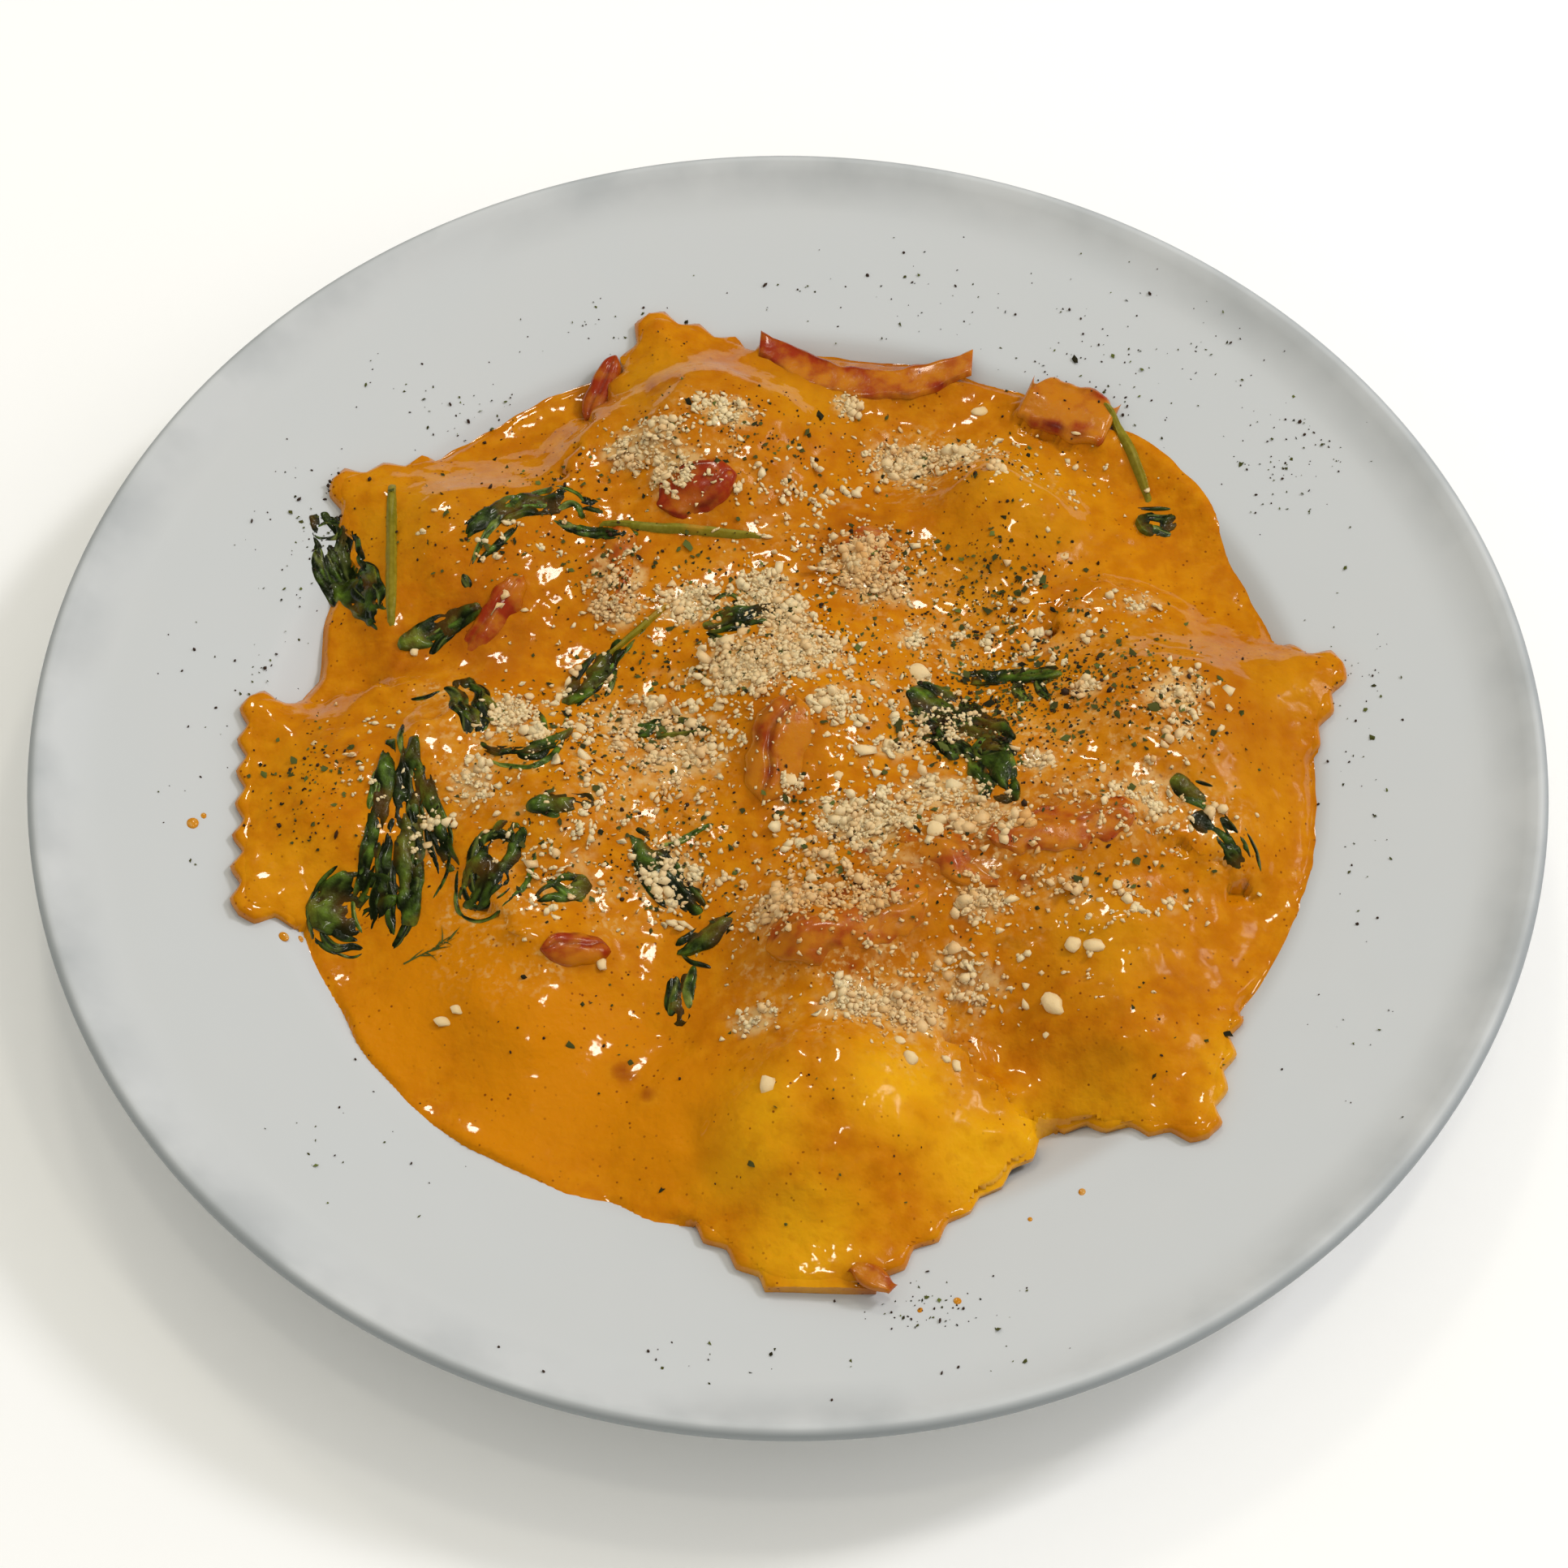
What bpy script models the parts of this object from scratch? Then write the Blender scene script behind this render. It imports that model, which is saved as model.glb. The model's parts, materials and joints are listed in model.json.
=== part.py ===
"""Ravioli in cream sauce, served with spinach and roasted pepper on a wide-rimmed plate.

Lengths are millimetres and angles are degrees, until place() scales a finished mesh to metres.
The origin is on the table under the middle of the plate, +Z is up, and the diner sits at -Y.
The plate comes first, then the sauce in its well, then each raviolo, pepper piece and leaf in the
order in which they were served. Each one settles on whatever already lies below it.

A raviolo or a loose piece is worked out flat, as an outline with a net of triangles inside it.
settle() lowers that net onto the heap, and slab() gives it its thickness.
"""

import math
from collections import namedtuple

import bpy
import numpy as np
from mathutils import Vector
from mathutils.geometry import delaunay_2d_cdt

MM = 0.001
SMOOTH_BELOW = 40

# Plate: flat floor, curved wall, wide sloping rim, raised round lip, foot ring.
PLATE_RADIUS = 152.5
FLOOR_RADIUS = 70.0
WELL_RADIUS = 108.0
LIP_START = 143.0
FLOOR_Z = 8.0
WELL_EDGE_Z = 22.0
RIM_SLOPE = 0.13
LIP_RISE = 3.2
WALL = 5.0
FOOT_RADIUS = 79.0
FOOT_WIDTH = 5.0
FOOT_HEIGHT = 3.0
PLATE_SIDES = 48

# Sauce: it lies under everything, and stands higher where no raviolo covers it.
SAUCE_RADIUS = 105.0
SAUCE_SHORE = ((166, -10, 11), (-12, 3, 22), (125, 1, 20), (60, 2, 12))
SAUCE_LEVEL = 19.6
SAUCE_BED = 15.0
SAUCE_FILM = 0.9
SAUCE_SIDES = 60
SAUCE_RINGS = ((91, 30), (83, 24), (60, 12))
MOAT = 2.3
BANK = 1.3

# Raviolo: two square sheets of pasta, crimped round a filling, cut with a fluted wheel.
SHEETS = 2.4
FLANGE = 9.5
TEETH = 7
TOOTH = 1.1
PILLOW_RISE = 9.5
PILLOW_POWER = 2.6
RING_COUNTS = (24, 14, 4)
RING_SIZES = (1.0, 0.72, 0.34)

# Loose pieces
GAP = 0.35
STATION = 5.5
SKIN = 1.3

# Height map of what has been served
REACH = 130.0
CELL = 1.0
SETTLE_ROUNDS = 160
PASTA_STIFFNESS = 0.3
LEAF_STIFFNESS = 0.03
SAMPLES = 5
SHORE_MARGIN = 2.5
FLOOR_CLEARANCE = 5.0

Raviolo = namedtuple("Raviolo", "x y turn side plump trim")
RAVIOLI = (
    Raviolo(-49, -56.5, -42, 52, 0.8, 5),
    Raviolo(61, -54, -13, 56, 1.0, 0),
    Raviolo(42.5, 57, -42, 53, 1.1, 0),
    Raviolo(-61, 48, 18.5, 58, 0.8, 0),
    Raviolo(-83.5, -13, 2, 53, 0.6, 0),
    Raviolo(-40, -12, 28, 56, 0.8, 0),
    Raviolo(57, -17, 8, 56, 0.9, 0),
    Raviolo(77, 7, -21, 58, 0.8, 0),
    Raviolo(-14, 76, -18, 58, 1.0, 0),
    Raviolo(16, -38, -32, 54, 0.8, 0),
    Raviolo(7, -87, 46, 61, 1.2, 10),
    Raviolo(1, 14, 12, 58, 0.8, 0),
)

# x, y and turn place the middle of a piece; bend is how far it curves from end to end.
# blunt is 2 for an oval end and more for a squarer one. dome is the rise of its back, and folds
# is the number of ridges across it.
Piece = namedtuple("Piece", "x y turn length width bend blunt dome folds")
PEPPERS = (
    Piece(-41, 92.5, 68, 17, 7, 10, 2, 1.6, 0),
    Piece(15, 94, -4, 50, 6.5, 80, 4, 1.8, 2),
    Piece(58.5, 87, -22, 20, 15, 25, 5, 3.0, 1),
    Piece(-20, 60, 20, 18, 13, 0, 3, 2.6, 0),
    Piece(-37, 42, 80, 22, 11, -20, 3, 2.2, 1),
    Piece(-62, 28, 56, 26, 8, 12, 3, 2.2, 1),
    Piece(15, 49, -58, 25, 16, 15, 3, 3.0, 1),
    Piece(-2, -5, 76, 24, 13, 0, 3, 3.2, 0),
    Piece(12, -46, 22, 34, 18, 10, 3, 3.4, 2),
    Piece(32, -30, -35, 25, 14, -20, 3, 2.8, 1),
    Piece(54, -25, 16, 31, 13, 20, 3, 2.4, 2),
    Piece(-41, -50, 8, 14, 9, 0, 2, 3.6, 0),
    Piece(17, -119, -28, 9, 5, 0, 2, 1.4, 0),
)
SPINACH = (
    Piece(-92.5, 44.5, -62, 35, 12, 8, 3, 3.4, 3),
    Piece(-86, -36.5, 15, 20, 16, 20, 2, 4.2, 1),
    Piece(-81.5, -19, 82, 38, 6, 14, 3, 3.0, 0),
    Piece(-75.5, -22, 92, 43, 8, -8, 3, 3.6, 1),
    Piece(-70.5, -20, 108, 28, 6, -30, 2, 2.0, 0),
    Piece(-58, -31, 62, 21, 14, 20, 2, 3.4, 2),
    Piece(-64, 8, -62, 17, 10, 0, 3, 3.2, 1),
    Piece(-51.5, -6, 12, 25, 5, 120, 2, 2.2, 0),
    Piece(-40, 17, 55, 22, 8, -10, 2, 2.6, 2),
    Piece(-55, 57, 18, 36, 8, -95, 3, 2.8, 3),
    Piece(-72, 28, 24, 20, 8, 0, 2, 1.8, 1),
    Piece(34.5, 5, -44, 29, 17, 10, 2, 3.2, 3),
    Piece(45, 17.5, -4, 23, 7, 0, 2, 2.2, 1),
    Piece(41, -10, -68, 20, 12, 0, 2, 2.2, 2),
    Piece(-8, 29, 12, 22, 10, 20, 2, 2.2, 2),
    Piece(-23, 2, 2, 20, 7, -20, 2, 1.8, 1),
    Piece(-24, -31, -50, 24, 9, 15, 2, 2.4, 2),
    Piece(-16, -44.5, 28, 14, 8, 0, 2, 2.2, 1),
    Piece(-20, -57.5, 85, 13, 7, 0, 6, 1.8, 0),
    Piece(77, 61, 15, 10, 8, 0, 5, 1.4, 0),
    Piece(84, -20, -50, 25, 10, 0, 2, 1.2, 1),
    Piece(-45, -19, 4, 15, 7, 0, 2, 1.4, 0),
    Piece(-44, -37, 20, 13, 9, 0, 2, 1.2, 0),
)
STEMS = (
    Piece(-83, 46, -87, 36, 3.0, 0, 6, 1.0, 0),
    Piece(-23, 51.5, -3, 35, 2.6, 8, 3, 1.0, 0),
    Piece(-31, 27.5, 44, 17, 2.2, 10, 3, 0.9, 0),
    Piece(72, 78, -68, 25, 2.8, -22, 4, 0.9, 0),
)
TUCKED_UNDER = ("pepper_01", "spinach_01")


def plate_height(radius):
    """Height of the plate's upper surface at this distance from its middle."""
    climb = np.clip((radius - FLOOR_RADIUS) / (WELL_RADIUS - FLOOR_RADIUS), 0, 1)
    wall = (WELL_EDGE_Z - FLOOR_Z) * (1 - np.cos(0.5 * math.pi * climb**1.25))
    rim = RIM_SLOPE * np.clip(radius - WELL_RADIUS, 0, None)
    lip = np.clip((radius - LIP_START) / (PLATE_RADIUS - 2.5 - LIP_START), 0, 1)
    return FLOOR_Z + wall + rim + LIP_RISE * lip**2


def plate_profile():
    """Outline of the plate's section as (radius, height), from the middle of its top to its base."""
    crest = float(plate_height(PLATE_RADIUS))
    top_radii = (0, FLOOR_RADIUS, 83, 93, 101, WELL_RADIUS, LIP_START, 147, 150)
    top = [(r, float(plate_height(r))) for r in top_radii]
    lip = [(PLATE_RADIUS - 0.4, crest - 0.7), (PLATE_RADIUS, crest - 2.2), (150.0, crest - 4.2)]
    under = [(r, float(plate_height(r)) - WALL) for r in (LIP_START, WELL_RADIUS + 3, 97)]
    outer, inner = FOOT_RADIUS + FOOT_WIDTH / 2, FOOT_RADIUS - FOOT_WIDTH / 2
    foot = [(outer + 1, FOOT_HEIGHT + 0.6), (outer, 0), (inner, 0), (inner - 1, FOOT_HEIGHT)]
    return top + lip + under + foot + [(0, FOOT_HEIGHT)]


def turned(profile, sides):
    """Points and faces of a profile turned about Z. It starts and ends on the axis."""
    angles = [2 * math.pi * k / sides for k in range(sides)]
    points = [(0, 0, profile[0][1])]
    points += [(r * math.cos(a), r * math.sin(a), z) for r, z in profile[1:-1] for a in angles]
    points.append((0, 0, profile[-1][1]))
    last = len(points) - 1
    rings = len(profile) - 2
    faces = []
    for k in range(sides):
        following = (k + 1) % sides
        faces.append((0, 1 + k, 1 + following))
        for ring in range(rings - 1):
            here, below = 1 + ring * sides, 1 + (ring + 1) * sides
            faces.append((here + k, below + k, below + following, here + following))
        end = 1 + (rings - 1) * sides
        faces.append((end + k, last, end + following))
    return points, faces


class Heap:
    """Height of everything served so far, on a square grid over the plate."""

    def __init__(self):
        self.axis = np.arange(-REACH, REACH + CELL, CELL)
        self.x, self.y = np.meshgrid(self.axis, self.axis, indexing="ij")
        self.z = plate_height(np.hypot(self.x, self.y))

    def ceiling(self, spots):
        """Highest point within a cell or so of each spot."""
        column = np.rint((spots + REACH) / CELL).astype(int)
        reach = [(i, j) for i in (-1, 0, 1) for j in (-1, 0, 1)]
        return np.max([self.z[column[:, 0] + i, column[:, 1] + j] for i, j in reach], axis=0)

    def cover(self, spots, heights, triangles):
        """Raises the grid to a net of triangles laid over it."""
        for corners in triangles:
            a, b, c = spots[corners]
            low = np.floor((np.min([a, b, c], axis=0) + REACH) / CELL).astype(int)
            high = np.ceil((np.max([a, b, c], axis=0) + REACH) / CELL).astype(int) + 1
            window = (slice(low[0], high[0]), slice(low[1], high[1]))
            x, y = self.x[window], self.y[window]
            twice_area = (b[0] - a[0]) * (c[1] - a[1]) - (c[0] - a[0]) * (b[1] - a[1])
            second = ((x - a[0]) * (c[1] - a[1]) - (c[0] - a[0]) * (y - a[1])) / twice_area
            third = ((b[0] - a[0]) * (y - a[1]) - (x - a[0]) * (b[1] - a[1])) / twice_area
            inside = (second > -0.05) & (third > -0.05) & (second + third < 1.05)
            z = heights[corners] @ np.array([1 - second - third, second, third]).reshape(3, -1)
            z = np.where(inside, z.reshape(x.shape), -1e9)
            self.z[window] = np.maximum(self.z[window], z)


def inside(outline, spots):
    """Whether each spot is inside a closed outline, by counting the sides to its right."""
    count = np.zeros(len(spots), int)
    for (x1, y1), (x2, y2) in zip(outline, np.roll(outline, -1, axis=0)):
        crosses = (spots[:, 1] < y1) != (spots[:, 1] < y2)
        slope = (x2 - x1) / (y2 - y1) if y2 != y1 else 0
        count += crosses & (spots[:, 0] < x1 + (spots[:, 1] - y1) * slope)
    return count % 2 == 1


def net(outline, inner):
    """Points and upward triangles of a flat net inside an outline. The outline's points come first."""
    spots = [Vector(p) for p in outline] + [Vector(p) for p in inner]
    ring = list(range(len(outline)))
    found = delaunay_2d_cdt(spots, [], [ring], 1, 1e-6, False)
    points = np.array([tuple(p) for p in found[0]])
    if len(points) != len(spots):
        raise ValueError("two points of a net coincide")
    triangles = np.array(found[2])
    return points, triangles[inside(points[ring], points[triangles].mean(axis=1))]


def settle(spots, triangles, heap, stiffness):
    """Lowest heights at which this net clears the heap, bridging its hollows as stiffly as told."""
    steps = range(SAMPLES + 1)
    weights = np.array([(i, j, SAMPLES - i - j) for i in steps for j in steps if i + j <= SAMPLES])
    weights = weights / SAMPLES
    places = np.einsum("sk,tkx->tsx", weights, spots[triangles])
    needed = heap.ceiling(places.reshape(-1, 2)).reshape(places.shape[:2]) + GAP
    heights = heap.ceiling(spots) + GAP
    pairs = np.concatenate([triangles[:, [0, 1]], triangles[:, [1, 2]], triangles[:, [2, 0]]])
    pairs = np.concatenate([pairs, pairs[:, ::-1]])
    degree = np.bincount(pairs[:, 0], minlength=len(spots))
    for step in range(SETTLE_ROUNDS):
        if step < SETTLE_ROUNDS // 2:
            around = np.bincount(pairs[:, 0], heights[pairs[:, 1]], minlength=len(spots)) / degree
            heights = np.maximum(heights, heights + stiffness * (around - heights))
        short = needed - np.einsum("sk,tk->ts", weights, heights[triangles])
        worst = short.argmax(axis=1)
        lift = np.clip(short.max(axis=1), 0, None)
        share = weights[worst]
        raise_by = lift[:, None] * share / (share**2).sum(axis=1)[:, None]
        lifted = heights.copy()
        np.maximum.at(lifted, triangles, heights[triangles] + raise_by)
        heights = lifted
    return heights


def slab(spots, triangles, outline_count, bottom, top):
    """Points and faces of the solid between two heights over one net."""
    points = np.vstack([np.column_stack([spots, top]), np.column_stack([spots, bottom])])
    below = len(spots)
    faces = [tuple(t) for t in triangles]
    faces += [tuple(t[::-1] + below) for t in triangles]
    for k in range(outline_count):
        following = (k + 1) % outline_count
        faces.append((k, below + k, below + following, following))
    return points, faces


def turned_about(spots, turn, x, y):
    """The spots turned by an angle, then moved to their place on the plate."""
    a = math.radians(turn)
    spots = np.asarray(spots, float)
    return spots @ np.array([(math.cos(a), math.sin(a)), (-math.sin(a), math.cos(a))]) + (x, y)


def fluted_square(side, trim, grow=0.0, teeth=TEETH, tooth=TOOTH):
    """Outline of a square cut with a fluted wheel. trim is cut off the corner nearest the diner."""
    half = side / 2 + grow
    steps = 2 * teeth
    spots = []
    for quarter in range(4):
        for k in range(steps):
            along = -half + 2 * half * k / steps
            out = half + (tooth if k % 2 else -tooth) * (0.5 if k else 0)
            spot = turned_about([(out, along)], 90 * quarter, 0, 0)[0]
            spots.append(spot)
    spots = np.array(spots)
    depth = math.sqrt(2) * half - trim
    past = -(spots[:, 0] + spots[:, 1]) / math.sqrt(2) - depth
    return spots + np.clip(past, 0, None)[:, None] / math.sqrt(2)


def pillow_ring(half, count):
    """Rounded square of this half width."""
    angles = 2 * math.pi * (np.arange(count) + 0.5) / count
    c, s = np.cos(angles), np.sin(angles)
    size = half / (np.abs(c) ** 4 + np.abs(s) ** 4) ** 0.25
    return np.column_stack([size * c, size * s])


def pillow_rise(raviolo, spots):
    """How far the filling lifts the upper sheet at these spots, in the raviolo's own directions."""
    half = raviolo.side / 2 - FLANGE
    reach = (np.abs(spots / half) ** PILLOW_POWER).sum(axis=1) ** (1 / PILLOW_POWER)
    return raviolo.plump * PILLOW_RISE * np.clip(1 - reach**2, 0, None) ** 0.6


def make_raviolo(raviolo, heap):
    """Points and faces of one raviolo, settled on the heap."""
    outline = fluted_square(raviolo.side, raviolo.trim)
    half = raviolo.side / 2 - FLANGE
    inner = [pillow_ring(half * size, count) for size, count in zip(RING_SIZES, RING_COUNTS)]
    own, triangles = net(outline, np.vstack(inner))
    spots = turned_about(own, raviolo.turn, raviolo.x, raviolo.y)
    bottom = settle(spots, triangles, heap, PASTA_STIFFNESS)
    top = bottom + SHEETS + pillow_rise(raviolo, own)
    heap.cover(spots, top, triangles)
    return slab(spots, triangles, len(outline), bottom, top)


def centreline(piece, along):
    """Points and sideways directions of a piece's curved middle line, at shares -1 to 1 of its half."""
    fine = np.linspace(-1, 1, 101)
    heading = np.radians(piece.bend) * fine / 2
    step = piece.length / 2 * (fine[1] - fine[0])
    x = np.cumsum(np.cos(heading)) * step
    y = np.cumsum(np.sin(heading)) * step
    middle = len(fine) // 2
    ahead = np.interp(along, fine, x - x[middle])
    aside = np.interp(along, fine, y - y[middle])
    angle = np.interp(along, fine, heading)
    return np.column_stack([ahead, aside]), np.column_stack([-np.sin(angle), np.cos(angle)])


def piece_back(piece, along, across):
    """Thickness of a piece at these shares of its half length and half width."""
    edge = np.clip(1 - across**2, 0, None)
    ridges = 1 + 0.35 * np.cos(math.pi * (piece.folds + 1) * along) * (piece.folds > 0)
    return SKIN + piece.dome * edge * ridges * (1 - 0.5 * np.abs(along) ** 3)


def make_piece(piece, heap):
    """Points and faces of one loose piece, settled on the heap."""
    count = max(3, min(9, round(piece.length / STATION)))
    along = np.cos(math.pi * (np.arange(count, 0, -1)) / (count + 1))
    width = piece.width / 2 * (1 - np.abs(along) ** piece.blunt) ** 0.5
    here, aside = centreline(piece, along)
    ends, _ = centreline(piece, np.array([-1.0, 1.0]))
    right, left = here - aside * width[:, None], here + aside * width[:, None]
    outline = np.vstack([ends[:1], right, ends[1:], left[::-1]])
    own, triangles = net(outline, here)
    spots = turned_about(own, piece.turn, piece.x, piece.y)
    share = np.concatenate([[-1], along, [1], along[::-1], along])
    across = np.concatenate([[1], np.ones(count), [1], np.ones(count), np.zeros(count)])
    bottom = settle(spots, triangles, heap, LEAF_STIFFNESS)
    top = bottom + piece_back(piece, share, across)
    heap.cover(spots, top, triangles)
    return slab(spots, triangles, len(outline), bottom, top)


def covered(spots, grow, leave_out=None):
    """Whether each spot lies under a raviolo whose square is grown by this much."""
    found = np.zeros(len(spots), bool)
    for raviolo in RAVIOLI:
        if raviolo is leave_out:
            continue
        own = turned_about(spots - (raviolo.x, raviolo.y), -raviolo.turn, 0, 0)
        half = raviolo.side / 2 + grow
        found |= (np.abs(own) < half - 1e-6).all(axis=1)
    return found


def sauce_banks():
    """Points along the foot and the brink of the bank of sauce round the ravioli, brink second."""
    feet, brinks = [], []
    for raviolo in RAVIOLI:
        for grow, found in ((MOAT, feet), (MOAT + BANK, brinks)):
            ring = fluted_square(raviolo.side, 0, grow, 3, 0)
            ring = turned_about(ring, raviolo.turn, raviolo.x, raviolo.y)
            keep = ~covered(ring, MOAT + BANK, raviolo)
            bearing = np.degrees(np.arctan2(ring[:, 1], ring[:, 0]))
            keep &= np.hypot(ring[:, 0], ring[:, 1]) < shore(bearing) - SHORE_MARGIN
            found.append(ring[keep])
    return np.vstack(feet), np.vstack(brinks)


def shore(angles):
    """Radius that the sauce reaches in each direction, given in degrees."""
    reach = np.full(len(angles), SAUCE_RADIUS)
    for middle, further, width in SAUCE_SHORE:
        away = (angles - middle + 180) % 360 - 180
        reach += further * np.exp(-((away / width) ** 2))
    return reach


def circle(radius, count):
    """Spots evenly spaced round a circle."""
    angles = 2 * math.pi * np.arange(count) / count
    return np.column_stack([radius * np.cos(angles), radius * np.sin(angles)])


def make_sauce(heap):
    """Points and faces of the sauce: a shallow bed under the ravioli and a bank round them."""
    angles = 360 * np.arange(SAUCE_SIDES) / SAUCE_SIDES
    around = np.column_stack([np.cos(np.radians(angles)), np.sin(np.radians(angles))])
    outline = shore(angles)[:, None] * around
    feet, brinks = sauce_banks()
    floor = np.vstack([circle(radius, count) for radius, count in SAUCE_RINGS])
    edges = np.vstack([feet, brinks])
    clear = [np.hypot(*(edges - spot).T).min() > FLOOR_CLEARANCE for spot in floor]
    spots, triangles = net(outline, np.vstack([edges, floor[clear]]))
    plate = plate_height(np.hypot(spots[:, 0], spots[:, 1]))
    bottom = settle(spots, triangles, heap, 0)
    under = covered(spots, MOAT + BANK)
    top = np.where(under, SAUCE_BED, SAUCE_LEVEL)
    top = np.maximum(top, np.maximum(plate + GAP, bottom) + SAUCE_FILM)
    heap.cover(spots, top, triangles)
    return slab(spots, triangles, len(outline), bottom, top)


def material(name, colour, roughness):
    """Principled finish from a linear colour."""
    made = bpy.data.materials.new(name)
    made.use_nodes = True
    shader = made.node_tree.nodes["Principled BSDF"]
    shader.inputs["Base Color"].default_value = (*colour, 1)
    shader.inputs["Roughness"].default_value = roughness
    return made


def place(name, points, faces, finish):
    """Puts a solid, given in millimetres, into the scene as one object in metres."""
    mesh = bpy.data.meshes.new(name)
    metres = np.array(points, float) * MM
    mesh.from_pydata(metres.tolist(), [], [[int(corner) for corner in face] for face in faces])
    mesh.materials.append(finish)
    mesh.shade_smooth()
    mesh.set_sharp_from_angle(angle=math.radians(SMOOTH_BELOW))
    obj = bpy.data.objects.new(name, mesh)
    bpy.context.scene.collection.objects.link(obj)


def main():
    for obj in list(bpy.data.objects):
        bpy.data.objects.remove(obj)
    glaze = material("plate glaze", (0.60, 0.62, 0.60), 0.25)
    cream_sauce = material("cream sauce", (0.70, 0.22, 0.01), 0.3)
    pasta = material("egg pasta", (0.68, 0.36, 0.02), 0.35)
    pepper = material("roasted pepper", (0.48, 0.05, 0.01), 0.3)
    leaf = material("wilted spinach", (0.02, 0.06, 0.01), 0.35)

    loose = {}
    groups = (("pepper", PEPPERS, pepper), ("stem", STEMS, leaf), ("spinach", SPINACH, leaf))
    for group, pieces, finish in groups:
        for number, piece in enumerate(pieces, 1):
            loose[f"{group}_{number:02d}"] = (piece, finish)

    heap = Heap()
    place("plate", *turned(plate_profile(), PLATE_SIDES), glaze)
    place("sauce", *make_sauce(heap), cream_sauce)
    for name in TUCKED_UNDER:
        piece, finish = loose.pop(name)
        place(name, *make_piece(piece, heap), finish)
    for number, raviolo in enumerate(RAVIOLI, 1):
        place(f"raviolo_{number:02d}", *make_raviolo(raviolo, heap), pasta)
    for name, (piece, finish) in loose.items():
        place(name, *make_piece(piece, heap), finish)


main()
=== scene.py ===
"""Ravioli in cream sauce on a wide-rimmed plate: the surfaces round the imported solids.

Shapes are worked out in millimetres, in the frame's axes, and turned to metres when a mesh is
made. Every fine piece is built over its own solid: the solid gives its outline and its heights.
"""

import json
import math

import bmesh
import bpy
import numpy as np
from bpy.props import FloatProperty, FloatVectorProperty, IntProperty, PointerProperty
from mathutils import Matrix, Vector

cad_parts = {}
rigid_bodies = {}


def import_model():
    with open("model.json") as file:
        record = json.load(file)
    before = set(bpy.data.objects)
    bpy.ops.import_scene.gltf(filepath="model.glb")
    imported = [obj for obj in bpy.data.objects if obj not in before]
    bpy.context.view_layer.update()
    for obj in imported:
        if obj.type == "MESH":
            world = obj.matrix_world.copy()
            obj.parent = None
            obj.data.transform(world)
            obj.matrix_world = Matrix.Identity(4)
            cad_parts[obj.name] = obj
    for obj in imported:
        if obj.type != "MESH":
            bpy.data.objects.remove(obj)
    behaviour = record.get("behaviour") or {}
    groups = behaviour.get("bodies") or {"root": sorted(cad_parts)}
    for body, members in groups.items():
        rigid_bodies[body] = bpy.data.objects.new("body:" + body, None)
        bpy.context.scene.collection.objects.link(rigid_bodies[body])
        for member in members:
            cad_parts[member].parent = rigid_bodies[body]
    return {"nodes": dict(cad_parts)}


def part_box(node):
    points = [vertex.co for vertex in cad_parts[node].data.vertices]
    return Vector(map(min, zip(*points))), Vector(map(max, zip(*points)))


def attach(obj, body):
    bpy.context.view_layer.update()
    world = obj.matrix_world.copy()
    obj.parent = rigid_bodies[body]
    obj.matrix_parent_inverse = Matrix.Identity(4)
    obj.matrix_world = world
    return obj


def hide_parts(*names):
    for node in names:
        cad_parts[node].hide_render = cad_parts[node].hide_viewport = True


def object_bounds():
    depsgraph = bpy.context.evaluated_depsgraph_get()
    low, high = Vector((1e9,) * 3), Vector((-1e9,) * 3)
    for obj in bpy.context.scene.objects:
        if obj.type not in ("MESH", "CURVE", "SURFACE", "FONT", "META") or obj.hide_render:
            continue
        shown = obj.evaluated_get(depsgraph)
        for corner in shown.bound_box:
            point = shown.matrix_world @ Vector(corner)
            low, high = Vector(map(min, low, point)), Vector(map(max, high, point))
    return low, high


bl_info = {
    "name": "Plated Ravioli",
    "version": (1, 0, 0),
    "blender": (4, 5, 0),
    "location": "View3D > Sidebar > Ravioli",
    "description": "Builds a plate of ravioli in cream sauce, with its toppings and a studio",
    "category": "Object",
}

for leftover in list(bpy.data.objects):
    bpy.data.objects.remove(leftover)
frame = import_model()
CAD_BOX = [list(corner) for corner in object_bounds()]

MM = 0.001
NODES = frame["nodes"]
RAVIOLI = sorted(name for name in NODES if name.startswith("raviolo_"))
PEPPERS = sorted(name for name in NODES if name.startswith("pepper_"))
LEAVES = sorted(name for name in NODES if name.startswith("spinach_"))
STEMS = sorted(name for name in NODES if name.startswith("stem_"))

# Places on the food, in millimetres from the middle of the plate.
# Thin sauce, where the yellow of the pasta shows: x, y, radius, share.
BARE_PASTA = (
    (-31, 92, 11, 0.5), (2, 90, 12, 0.5), (50, 62, 15, 0.6), (38, 44, 12, 0.3),
    (-80, 56, 15, 0.5), (-62, 62, 12, 0.3), (-100, -8, 13, 0.2), (-98, -32, 12, 0.3),
    (-9, -90, 13, 1.0), (22, -82, 12, 0.9), (4, -112, 13, 0.8), (38, -92, 12, 0.9),
    (48, -84, 7, 1.0), (88, -74, 10, 0.8), (60, -80, 12, 0.6), (62, -48, 13, 0.5),
    (99, 16, 10, 0.5), (88, -8, 14, 0.3), (78, 22, 12, 0.3),
)
# Cream that has not mixed in.
CREAM = (
    (-54, -44, 15, 0.9), (-60, -8, 13, 0.9), (-70, 10, 8, 0.6), (-30, -8, 18, 0.7),
    (-38, -36, 12, 0.6), (10, -50, 20, 0.8), (40, -28, 20, 0.7), (24, -66, 14, 0.6),
    (28, 33, 14, 0.6), (66, 30, 14, 0.4), (60, -2, 16, 0.9), (79, -2, 10, 0.5), (-8, 44, 14, 0.4),
    (-24, 70, 14, 0.6), (28, 74, 12, 0.6), (78, -22, 14, 0.6),
)
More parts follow.
